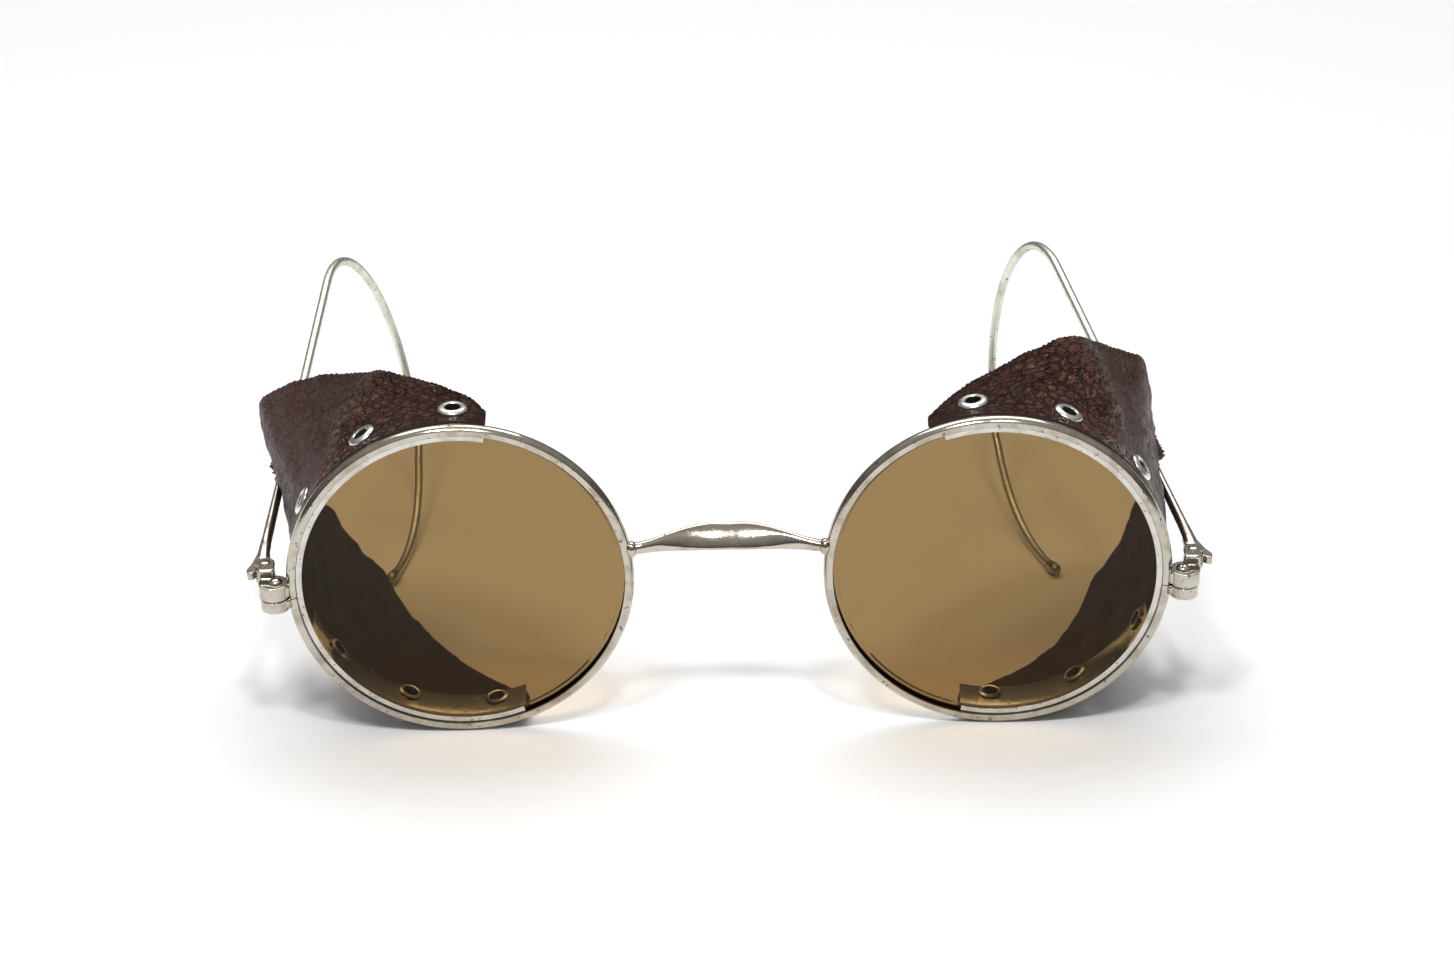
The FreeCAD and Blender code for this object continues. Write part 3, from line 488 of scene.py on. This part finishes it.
def tinted_glass():
    """Amber-brown glass that lets the lamps through in its own tint."""
    material, tree, shader = new_material("amber_glass")
    place = shader_node(tree, "ShaderNodeTexCoord")
    cloud = shader_node(tree, "ShaderNodeTexNoise", Scale=60.0, Detail=3.0)
    dust = shader_node(tree, "ShaderNodeTexNoise", Scale=700.0, Detail=2.0)
    for texture in (cloud, dust):
        tree.links.new(place.outputs["Object"], texture.inputs["Vector"])
    tint = coloured(tree, cloud.outputs["Fac"], GLASS_TINT, GLASS_TINT_LIGHT)
    tree.links.new(tint, shader.inputs["Base Color"])
    shader.inputs["Transmission Weight"].default_value = 1.0
    shader.inputs["IOR"].default_value = 1.25
    rough = ranged(tree, dust.outputs["Fac"], 0.7, 0.8, 0.0, 0.03)
    tree.links.new(rough, shader.inputs["Roughness"])
    path = shader_node(tree, "ShaderNodeLightPath")
    clear = shader_node(tree, "ShaderNodeBsdfTransparent")
    clear.inputs["Color"].default_value = (*GLASS_SHADOW, 1)
    mix = shader_node(tree, "ShaderNodeMixShader")
    tree.links.new(path.outputs["Is Shadow Ray"], mix.inputs[0])
    tree.links.new(shader.outputs[0], mix.inputs[1])
    tree.links.new(clear.outputs[0], mix.inputs[2])
    tree.links.new(mix.outputs[0], tree.nodes["Material Output"].inputs["Surface"])
    return material


GLASS_TINT = (0.275, 0.18, 0.073)
GLASS_TINT_LIGHT = (0.3, 0.197, 0.082)
GLASS_SHADOW = (0.62, 0.52, 0.36)

nickel = old_metal("nickel_silver", (0.54, 0.505, 0.44), (0.36, 0.31, 0.24),
                   (0.13, 0.11, 0.08), 0.1, 0.26)
nickel_bridge = old_metal("polished_saddle", (0.56, 0.51, 0.44), (0.38, 0.32, 0.25),
                          (0.13, 0.1, 0.07), 0.08, 0.2)
nickel_temple = old_metal("rubbed_temple_metal", (0.5, 0.465, 0.4), (0.3, 0.26, 0.2),
                          (0.12, 0.1, 0.08), 0.18, 0.36)
band_metal = old_metal("rolled_band_sheet", (0.64, 0.63, 0.59), (0.5, 0.47, 0.42),
                       (0.25, 0.22, 0.19), 0.16, 0.32)
eyelet_metal = old_metal("eyelet_aluminium", (0.84, 0.84, 0.81), (0.66, 0.65, 0.6),
                         (0.3, 0.28, 0.24), 0.22, 0.42, 500)
# Near-black metal on the rim's inner faces: painted shade for the dark line between the rim's dome and the
# band's lip.
rim_line_shade = old_metal("painted_rim_line_shade", (0.12, 0.11, 0.09), (0.07, 0.06, 0.05),
                  (0.03, 0.03, 0.02), 0.35, 0.55)
# Near-black metal for the inside of each eyelet: painted shade in the hole.
eyelet_bore = old_metal("eyelet_bore", (0.1, 0.1, 0.1), (0.06, 0.06, 0.06),
                        (0.03, 0.03, 0.03), 0.45, 0.6, 500)
cable_metal = old_metal("coil_wire", (0.76, 0.76, 0.67), (0.6, 0.59, 0.49),
                        (0.3, 0.28, 0.2), 0.32, 0.5)
tip_metal = old_metal("coil_cap", (0.45, 0.44, 0.36), (0.32, 0.3, 0.22),
                      (0.15, 0.14, 0.1), 0.3, 0.5)
core_metal = old_metal("spring_core", (0.5, 0.5, 0.48), (0.35, 0.34, 0.3),
                       (0.2, 0.18, 0.15), 0.3, 0.45)
# The third colour is painted shade for the grain's creases.
hide = leather("oxblood_hide", (0.165, 0.064, 0.04), (0.055, 0.021, 0.014), (0.015, 0.006, 0.005), 62.0, 0.15)
hide_inside = suede("hide_nap", (0.058, 0.032, 0.022), (0.024, 0.013, 0.009))
hide_edge = suede("hide_cut_edge", (0.05, 0.014, 0.014), (0.015, 0.006, 0.006))
glass = tinted_glass()


# ---------------------------------------------------------------- front


def arc_points(centre_r, centre_y, radius, start, end, count):
    """Points on an arc of an outline, angles from the radius direction toward depth."""
    result = []
    for step in range(count + 1):
        angle = math.radians(start + (end - start) * step / count)
        result.append((centre_r + radius * math.cos(angle), centre_y + radius * math.sin(angle)))
    return result


def eye_wire(side):
    reach = math.degrees(math.asin(0.95 / 1.1))
    crown = arc_points(21.9, 0, 1.1, -reach, reach, 14)
    groove = [(21.76, 0.95), (21.7, 0.89), (21.7, 0.62), (22.35, 0.62), (22.35, -0.62), (21.7, -0.62),
              (21.7, -0.89), (21.76, -0.95)]
    split = -math.degrees(math.asin(1.65 / 23.0))
    begin = -(split - 0.15) if SIDES[side] > 0 else 180 + split + 0.15
    bm = spun(crown + groove, 359.7, 180, begin)
    # The rim's inner faces, inside 21.78 mm, take the second material: a painted line of shade between the
    # dome and the lip.
    for face in bm.faces:
        centre = face.calc_center_median()
        face.material_index = 1 if math.hypot(centre.x, centre.z) < 21.78 else 0
    mesh_piece(side + "_rim", bm, "front", [side + "_eye_wire"], [nickel, rim_line_shade],
               lens_frame(side))


def lens(side):
    shares = (0, 0.15, 0.3, 0.45, 0.6, 0.75, 0.9, 1)
    dome = 1.2
    front = [(21.1 * share, -0.35 - dome * (1 - share ** 2)) for share in shares]
    back = [(21.12 * share, 1.1 - dome * (1 - share ** 2)) for share in reversed(shares)]
    edge = [(22.02, -0.35), (22.08, -0.29), (22.08, 0.29), (22.02, 0.35), (21.16, 0.35)]
    bm = spun(front + edge + back, 360, 128, closed=False)
    mesh_piece(side + "_glass", bm, "front", [side + "_lens"], [glass], lens_frame(side))


def shield_band(side):
    """Rolled channel, its front lip inside the rim, and the skirt that the hide is fixed to."""
    lip = [(20.9, -0.59), (20.9, -0.39), (22.12, -0.39), (22.12, 0.39), (21.4, 0.39), (21.4, 6.5),
           (21.6, 6.5), (21.6, 0.59), (22.32, 0.59), (22.32, -0.59)]
    sign = SIDES[side]
    middle = -CLOCK[side] if sign > 0 else 180 + CLOCK[side]
    bm = spun(lip, 2 * HALF_SPAN, 110, middle - HALF_SPAN)
    soften(bm, 0.05)
    piece = mesh_piece(side + "_band", bm, "front", [side + "_shield_band"], [band_metal],
                       lens_frame(side))
    for clock in eyelet_clocks(side):
        bored(piece, radial_frame(side, clock, EYELET_DEPTH, 21.5), 1.24, 3.0)
    half_gap = 21.7 * math.sin(math.radians(20))
    notch = lens_frame(side) @ moved(sign * 21.5, 0.95 + 4.0, 0) @ turned("Y", 90)
    squared(piece, notch, (2 * half_gap, 8.0, 6.0))


def eyelet_clocks(side):
    return [CLOCK[side] + way * angle for way in (1, -1) for angle in EYELET_ANGLES]


def eyelets(side):
    """Six rolled eyelets: domed flange outside, curled washer inside, open bore."""
    flange = [(1.0, 1.6), (1.03, 1.72), (1.14, 1.82), (1.35, 1.86), (1.62, 1.8), (1.85, 1.66), (1.98, 1.5),
              (1.99, 1.46), (1.2, 1.46)]
    washer = [(1.2, -0.1), (1.6, -0.1), (1.58, -0.3), (1.3, -0.46), (1.08, -0.42), (1.0, -0.3)]
    whole = bmesh.new()
    for clock in eyelet_clocks(side):
        one = spun(flange + washer, 360, 28)
        # The bore's inner wall takes the second material, painted shade in the hole.
        for face in one.faces:
            centre = face.calc_center_median()
            face.material_index = 1 if math.hypot(centre.x, centre.z) < 1.06 else 0
        scratch = bpy.data.meshes.new("eyelet")
        upright = Matrix.Rotation(math.radians(90), 4, "X")
        lean = noise.noise(Vector((clock, 0, SIDES[side]))) * 4
        place = radial_frame(side, clock, EYELET_DEPTH, 21.4) @ turned("X", lean)
        bmesh.ops.transform(one, matrix=place @ upright, verts=one.verts)
        one.to_mesh(scratch)
        one.free()
        whole.from_mesh(scratch)
        bpy.data.meshes.remove(scratch)
    mesh_piece(side + "_eyelet_rings", whole, "front", [side + "_eyelets"],
               [eyelet_metal, eyelet_bore])


def rear_edge(side, clock):
    rows = REAR_EDGE[side]
    for (a0, r0, d0), (a1, r1, d1) in zip(rows, rows[1:]):
        if a1 <= clock <= a0:
            share = (a0 - clock) / (a0 - a1)
            return r0 + (r1 - r0) * share, d0 + (d1 - d0) * share
    return rows[-1][1:]


def smooth_step(value):
    value = max(0.0, min(1.0, value))
    return value * value * (3 - 2 * value)


def fold_at(side, back):
    """Clock angle, width and height of the fold at a share of the hide's depth."""
    at_band, at_edge, height = FOLD[side]
    return at_band + (at_edge - at_band) * back, 2.6 + 4.2 * back, height


def hide_point(side, around, back, to_wire):
    """Middle of the hide's thickness at a share round the band and a share of its depth."""
    sign = SIDES[side]
    top, bottom = REAR_EDGE[side][0][0], REAR_EDGE[side][-1][0]
    clock = top + (bottom - top) * around
    near = [rear_edge(side, max(bottom, min(top, clock + shift))) for shift in (-1.2, -0.6, 0, 0.6, 1.2)]
    radius, depth = (sum(row[index] for row in near) / len(near) for index in (0, 1))
    outer = HIDE_OUTER
    y = HIDE_FRONT + (depth - HIDE_FRONT) * back
    if depth < SKIRT_END + HIDE_THICK:
        radius = outer
    knee = min(SKIRT_END + 0.55, depth - 0.55)
    r = outer
    if y > knee:
        share = (y - knee) / (depth - knee)
        r = outer + (radius - outer) * (0.25 * smooth_step(share) + 0.75 * share)
    free = smooth_step((y - knee) / 5.0) if y > knee else 0.0
    ridge, width, height = fold_at(side, back)
    away = (clock - ridge) / width
    r += height * free * math.exp(-away * away)
    r -= 0.45 * height * free * math.exp(-((clock - ridge + 1.9 * width) / width) ** 2)
    ripple = noise.fractal(Vector((clock * 0.12, y * 0.22, 3.0 * sign)), 1.0, 2.0, 4)
    r += 0.32 * free * ripple
    serration = 0.17 * math.sin(clock * 3.9) + 0.14 * noise.noise(Vector((clock * 1.3, 7.0, sign)))
    y += serration * smooth_step((back - 0.9) / 0.1)
    r -= HIDE_THICK / 2
    angle = math.radians(clock)
    point = Vector((sign * r * math.cos(angle), y, r * math.sin(angle)))
    local = to_wire @ point
    beside = Vector((local.x, 0, local.z))
    if SLOT_RUN[0] < local.y < SLOT_RUN[1] and beside.length < SLOT_ROOM:
        outward = beside.normalized() * (SLOT_ROOM - beside.length) * smooth_step((local.y - SLOT_RUN[0]) / 3)
        point += (to_wire.inverted().to_3x3() @ outward)
    return point, clock


def shield_leather(side):
    """Hide bent round the band and flaring back, with its fold, slot and pinked rear edge."""
    across, deep = 300, 56
    bm = bmesh.new()
    bmesh.ops.create_grid(bm, x_segments=across, y_segments=deep, size=0.5)
    layer = bm.loops.layers.uv.new("hide")
    bm.verts.layers.float.new("panel")
    bm.verts.layers.float.new("fold")
    panel, fold = (bm.verts.layers.float[name] for name in ("panel", "fold"))
    shares = {vert: (vert.co.x + 0.5, vert.co.y + 0.5) for vert in bm.verts}
    to_wire = wire_frame(side).inverted() @ lens_frame(side)
    for vert, (around, back) in shares.items():
        vert.co, clock = hide_point(side, around, back, to_wire)
        ridge, width, _ = fold_at(side, back)
        vert[panel] = smooth_step((ridge - clock) / width)
        vert[fold] = math.exp(-((clock - ridge + 0.4 * width) / (1.1 * width)) ** 2) * smooth_step(back * 2.2)
    for face in bm.faces:
        for loop in face.loops:
            around, back = shares[loop.vert]
            loop[layer].uv = (around * 0.9 + (0 if side == "left" else 0.37), back * 0.19)
    hinge = hinge_frame(side)
    slots = [hinge @ turned("Z", -SIDES[side] * open_by) @ hinge.inverted() @ wire_frame(side)
             for open_by in SLOT_PLAY[side]]
    slot_frames = [slot.inverted() @ lens_frame(side) for slot in slots]
    punched = []
    for face in bm.faces:
        centre = face.calc_center_median()
        in_slot = any(SLOT_RUN[0] < local.y < SLOT_RUN[1] and math.hypot(local.x, local.z) < SLOT_RADIUS
                      for local in (slot @ centre for slot in slot_frames))
        clock = math.degrees(math.atan2(centre.z, SIDES[side] * centre.x))
        in_eyelet = any(math.hypot(math.radians(clock - at) * HIDE_MIDDLE, centre.y - EYELET_DEPTH) < 1.25
                        for at in eyelet_clocks(side)) and centre.y < SKIRT_END
        in_notch = NOTCH[0] < clock < NOTCH[1] and NOTCH_FRONT < centre.y < SKIRT_END + 0.3
        if in_slot or in_eyelet or in_notch:
            punched.append(face)
    bmesh.ops.delete(bm, geom=punched, context="FACES")
    bm.normal_update()
    bm.faces.ensure_lookup_table()
    middle = bm.faces[len(bm.faces) // 2]
    if middle.normal.dot(middle.calc_center_median() * Vector((1, 0, 1))) < 0:
        bmesh.ops.reverse_faces(bm, faces=bm.faces)
    materials = [hide, hide_inside, hide_edge]
    form = bpy.data.objects.new("hide_form", bpy.data.meshes.new("hide_form"))
    bm.to_mesh(form.data)
    bm.free()
    bpy.context.scene.collection.objects.link(form)
    for material in materials:
        form.data.materials.append(material)
    thick = form.modifiers.new("thickness", "SOLIDIFY")
    thick.thickness = HIDE_THICK
    thick.offset = 0.0
    thick.use_even_offset = False
    thick.use_rim = True
    thick.material_offset = 1
    thick.material_offset_rim = 2
    settle(form)
    halves = []
    for name, clamped in (("hide_hem", True), ("hide", False)):
        half = bmesh.new()
        half.from_mesh(form.data)
        bmesh.ops.bisect_plane(half, geom=half.verts[:] + half.edges[:] + half.faces[:], dist=0.0001,
                               plane_co=(0, SKIRT_END, 0), plane_no=(0, 1, 0), clear_outer=clamped,
                               clear_inner=not clamped)
        cut_edges = [edge for edge in half.edges if edge.is_boundary]
        for face in bmesh.ops.holes_fill(half, edges=cut_edges, sides=0)["faces"]:
            face.material_index = 2
        halves.append(mesh_piece(f"{side}_{name}", half, "front", [side + "_shield_leather"],
                                 materials, lens_frame(side), recalc=False, smooth=180))
    bpy.data.objects.remove(form)
    hem, flare = halves
    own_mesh(flare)


def upper_lug(side):
    """End piece half with the hinge's post and two ears, soft as a casting."""
    bm = bmesh.new()
    bar(bm, (22.5, -0.98, -1.59), (25.6, 1.15, 0.45), 0.5, 4)
    bar(bm, (24.65, 1.1, -1.0), (26.85, 2.0, 1.7), 0.3)
    bar(bm, (24.65, 1.6, 1.02), (26.85, 3.4, 1.7), 0.12)
    bar(bm, (24.65, 1.6, -1.0), (26.85, 3.4, -0.32), 0.12)
    post(bm, 26.0, 3.35, 1.35, 1.02, 1.7)
    post(bm, 26.0, 3.35, 1.35, -1.0, -0.32)
    post(bm, 24.7, 0.1, 2.0, -1.6, 0.45)
    place_cast(side, "upper_end_piece", bm, "upper_lug", 0.075, 8, "front", lens_frame(side))


def lower_lug(side):
    bm = bmesh.new()
    bar(bm, (22.45, -0.98, -3.0), (25.5, 1.15, -1.71), 0.45, 4)
    post(bm, 24.65, 0.1, 1.9, -3.4, -1.74)
    place_cast(side, "lower_end_piece", bm, "lower_lug", 0.075, 8, "front", lens_frame(side))


def place_cast(side, name, bm, node, grain, smoothing, body, at):
    """Mirror for the right eye where needed, then fuse and soften."""
    if SIDES[side] < 0:
        bmesh.ops.scale(bm, vec=(-1, 1, 1), verts=bm.verts)
    piece = mesh_piece(f"{side}_{name}", bm, body, [f"{side}_{node}"], [nickel], at)
    cast(piece, grain, smoothing)


def closing_screw(side):
    """Round slotted head over a plain shank."""
    sign = SIDES[side]
    outline = [(0, 0.56), (0.3, 0.53), (0.6, 0.43), (0.82, 0.27), (0.94, 0.08), (0.94, 0.0), (0.5, 0.0),
               (0.5, -3.75), (0.42, -3.8), (0, -3.8)]
    bm = spun(outline, 360, 36, closed=False)
    upright = moved(sign * 24.45, 0.1, 0.46) @ turned("X", 90)
    piece = mesh_piece(side + "_end_screw", bm, "front", [side + "_closing_screw"], [nickel],
                       lens_frame(side) @ upright)
    turn = 35 if side == "right" else 70
    driver = lens_frame(side) @ moved(sign * 24.45, 0.1, 0.46 + 0.55) @ turned("Z", turn)
    squared(piece, driver, (3, 0.2, 0.55))


def hinge_pin(side):
    sign = SIDES[side]
    outline = [(0, 0.2), (0.35, 0.19), (0.6, 0.13), (0.71, 0.04), (0.71, 0.0), (0.5, 0.0),
               (0.5, -2.7), (0, -2.7)]
    bm = spun(outline, 360, 32, closed=False)
    upright = moved(sign * PIVOT[0], PIVOT[1], 1.7) @ turned("X", 90)
    mesh_piece(side + "_pin", bm, "front", [side + "_hinge_pin"], [nickel],
               lens_frame(side) @ upright)


def bridge():
    """Saddle between the rims: round soldered necks and a thin leaning crest."""
    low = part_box("right_eye_wire")[1]
    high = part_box("left_eye_wire")[0]
    middle = (low.x + high.x) / (2 * MM)
    centre = lens_frame("left").translation
    rows = [(13.2, 0.3, 3.9, 0.82, 0.8, 0), (11.6, 0.5, 3.98, 0.84, 0.78, 2), (9.6, 1.0, 4.18, 0.98, 0.7, 14),
            (7.4, 1.5, 4.42, 1.3, 0.6, 28), (5.0, 2.0, 4.6, 1.68, 0.53, 36), (2.4, 2.35, 4.7, 1.93, 0.5, 40),
            (0.0, 2.4, 4.66, 1.9, 0.5, 40)]
    rows = rows + [(-x, y, z, wide, thin, lean) for x, y, z, wide, thin, lean in reversed(rows[:-1])]
    stations = []
    for x, y, z, wide, thin, lean in eased(rows, 72):
        at = moved(middle + x, centre.y + y, centre.z + z) @ turned("X", -lean) @ turned("Y", -90)
        stations.append((at, wide, thin))
    bm = lofted(stations, 40)
    for way in (-1, 1):
        bead = moved(middle + way * 12.75, centre.y + 0.25, centre.z + 3.85)
        bead = bead @ Matrix.Diagonal((0.8, 1.05, 1.15, 1))
        bmesh.ops.create_uvsphere(bm, u_segments=24, v_segments=14, radius=1.0, matrix=bead)
    mesh_piece("saddle_bridge", bm, "front", ["bridge"], [nickel_bridge])


# ---------------------------------------------------------------- temples


def hook_path():
    """Position and heading along the wire's centreline: straight run, then the ear hook."""
    first, last = 1 / HOOK_START_RADIUS, 1 / HOOK_END_RADIUS
    total = math.radians(HOOK_TURN) / ((first + last) / 2)
    step = total / HOOK_ARCS

    def at(distance):
        if distance <= STRAIGHT:
            return Vector((0, distance, 0)), 0.0
        here, heading, left = Vector((0, STRAIGHT, 0)), 0.0, distance - STRAIGHT
        for number in range(HOOK_ARCS):
            bend = first + (last - first) * (number + 0.5) / HOOK_ARCS
            run = min(left, step) if number < HOOK_ARCS - 1 else left
            centre = here + Vector((0, -math.sin(heading), -math.cos(heading))) / bend
            heading += run * bend
            here = centre + Vector((0, math.sin(heading), math.cos(heading))) / bend
            left -= run
            if left <= 1e-9:
                break
        return here, heading
    return at, STRAIGHT + total


def along(at, distance):
    """Frame on the path with Z running forward along it."""
    point, heading = at(distance)
    return Matrix.Translation(point) @ Matrix.Rotation(-heading, 4, "X") @ turned("X", -90)


def ear_cable(side):
    """Close-wound sleeve: a fine ridge for every turn of the wire."""
    at, total = hook_path()
    stations, distance = [], BAR_LENGTH + 0.03
    phase = 0
    while distance < total:
        swell = (0.0, 0.045, 0.045)[phase % 3]
        stations.append((along(at, distance), CABLE_RADIUS - 0.05 + swell, CABLE_RADIUS - 0.05 + swell))
        distance += COIL_PITCH / 3
        phase += 1
    bm = lofted(stations, 14)
    mesh_piece(side + "_cable", bm, side + "_temple", [side + "_ear_cable"], [cable_metal],
               wire_frame(side), smooth=60)


def cable_tip(side):
    at, total = hook_path()
    outline = [(0, -2.0), (0.72, -2.0), (0.82, -1.94), (0.85, -1.8), (0.85, 0.15)]
    outline += arc_points(0, 0.15, 0.85, 0, 90, 8)[1:]
    outline[-1] = (0, 1.0)
    bm = spun(outline, 360, 28, closed=False)
    place = wire_frame(side) @ along(at, total) @ turned("X", 90)
    mesh_piece(side + "_cap", bm, side + "_temple", [side + "_cable_tip"], [tip_metal], place)


def ferrule(side):
    outline = [(0.66, -2.5), (0.8, -2.5), (0.9, -2.4), (0.95, -2.2), (0.95, 2.2), (0.9, 2.4), (0.8, 2.5),
               (0.66, 2.5)]
    bm = spun(outline, 360, 28)
    mesh_piece(side + "_collar", bm, side + "_temple", [side + "_ferrule"], [nickel_temple],
               wire_frame(side) @ moved(0, BAR_LENGTH, 0))


def temple_bar(side):
    """Flat blade with its beak and knuckle, necking into the round wire."""
    sign = SIDES[side]
    bm = bmesh.new()
    blade = [(-0.6, 0.95), (0.27, 5.2), (1.63, 5.2), (2.05, 1.0), (2.45, -0.6), (2.05, -1.65), (1.35, -1.45),
             (0.85, -0.6)]
    geometry = wire_loop(bm, blade)
    bmesh.ops.edgeloop_fill(bm, edges=[item for item in geometry if isinstance(item, bmesh.types.BMEdge)])
    bmesh.ops.translate(bm, vec=(0, 0, -0.56), verts=bm.verts)
    made = bmesh.ops.extrude_face_region(bm, geom=bm.faces[:])["geom"]
    top = [item for item in made if isinstance(item, bmesh.types.BMVert)]
    bmesh.ops.translate(bm, vec=(0, 0, 1.12), verts=top)
    soften(bm, 0.12, 2, 20)
    post(bm, 0, 0, 1.28, -0.58, 0.58)
    bmesh.ops.scale(bm, vec=(sign, 1, 1), verts=bm.verts)
    rows = [(-1.2, 0.8, 0.55), (0.0, 0.95, 0.6), (2.5, 0.84, 0.72), (5.0, 0.7, 0.78), (9.0, 0.66, 0.74),
            (16.0, 0.62, 0.66), (26.0, 0.6, 0.6)]
    inward = hinge_frame(side).inverted() @ wire_frame(side)
    stations = [(inward @ moved(0, y, 0) @ turned("X", -90), wide, high) for y, wide, high in eased(rows, 40)]
    lofted(stations, 20, bm)
    piece = mesh_piece(side + "_temple_blade", bm, side + "_temple", [side + "_temple_bar"],
                       [nickel_temple], hinge_frame(side))
    cast(piece, 0.1, 3)


for side in SIDES:
    eye_wire(side)
    lens(side)
    shield_band(side)
    eyelets(side)
    shield_leather(side)
    upper_lug(side)
    lower_lug(side)
    closing_screw(side)
    hinge_pin(side)
    temple_bar(side)
    ferrule(side)
    ear_cable(side)
    cable_tip(side)
    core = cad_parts[side + "_cable_core"]
    core.data.materials.clear()
    core.data.materials.append(core_metal)
bridge()


# ---------------------------------------------------------------- floor, light and camera


def floor():
    bm = bmesh.new()
    bmesh.ops.create_grid(bm, x_segments=1, y_segments=1, size=2.5)
    mesh = bpy.data.meshes.new("floor")
    bm.to_mesh(mesh)
    bm.free()
    ground = bpy.data.objects.new("floor", mesh)
    bpy.context.scene.collection.objects.link(ground)
    material, tree, shader = new_material("white_table")
    grain = shader_node(tree, "ShaderNodeTexNoise", Scale=400.0, Detail=2.0)
    place = shader_node(tree, "ShaderNodeTexCoord")
    tree.links.new(place.outputs["Object"], grain.inputs["Vector"])
    tree.links.new(coloured(tree, grain.outputs["Fac"], (0.93, 0.93, 0.93), (0.96, 0.96, 0.96)),
                   shader.inputs["Base Color"])
    shader.inputs["Roughness"].default_value = 0.7
    shader.inputs["Specular IOR Level"].default_value = 0.2
    mesh.materials.append(material)


def studio():
    """Bright tent with darker walls for the metal to mirror; the camera itself sees plain white."""
    world = bpy.data.worlds.new("tent")
    bpy.context.scene.world = world
    world.use_nodes = True
    tree = world.node_tree
    back = tree.nodes["Background"]
    place = shader_node(tree, "ShaderNodeTexCoord")
    parts = shader_node(tree, "ShaderNodeSeparateXYZ")
    tree.links.new(place.outputs["Generated"], parts.inputs[0])
    rise = ranged(tree, parts.outputs["Z"], 0.1, 0.75, 0.1, 0.42)
    seen = shader_node(tree, "ShaderNodeLightPath")
    strength = shader_node(tree, "ShaderNodeMix", data_type="FLOAT")
    tree.links.new(seen.outputs["Is Camera Ray"], strength.inputs[0])
    tree.links.new(rise, strength.inputs[2])
    strength.inputs[3].default_value = 1.05
    tree.links.new(strength.outputs[0], back.inputs["Strength"])
    back.inputs["Color"].default_value = (1.0, 0.99, 0.97, 1)


def lamp(name, at, target, size, power, tint=(1, 1, 1)):
    data = bpy.data.lights.new(name, "AREA")
    data.shape = "RECTANGLE"
    data.size, data.size_y = size
    data.energy = power
    data.color = tint
    thing = bpy.data.objects.new(name, data)
    bpy.context.scene.collection.objects.link(thing)
    aim = Vector(target) - Vector(at)
    thing.matrix_world = Matrix.Translation(at) @ aim.to_track_quat("-Z", "Y").to_matrix().to_4x4()


def camera():
    data = bpy.data.cameras.new("camera")
    data.sensor_width = 36.0
    data.lens = 90.41
    data.clip_start = 0.01
    thing = bpy.data.objects.new("camera", data)
    bpy.context.scene.collection.objects.link(thing)
    view = turned("Z", 0.6).to_3x3() @ turned("X", -22.643).to_3x3() @ turned("Y", 1.144).to_3x3()
    right, ahead, up = view.col
    turn = Matrix((right, up, -ahead)).transposed().to_4x4()
    thing.matrix_world = Matrix.Translation(Vector((4.80, -482.42, 219.87)) * MM) @ turn
    bpy.context.scene.camera = thing


floor()
studio()
lamp("overhead", (-0.05, 0.32, 0.75), (0, 0.05, 0), (0.85, 0.5), 3.9)
lamp("front_left", (-0.15, -0.43, 0.66), (0, 0, 0.02), (0.11, 0.11), 1.7)
lamp("front_right", (0.06, -0.42, 0.64), (0, 0, 0.03), (0.07, 0.07), 1.4)
camera()
bpy.context.scene.view_settings.view_transform = "Standard"
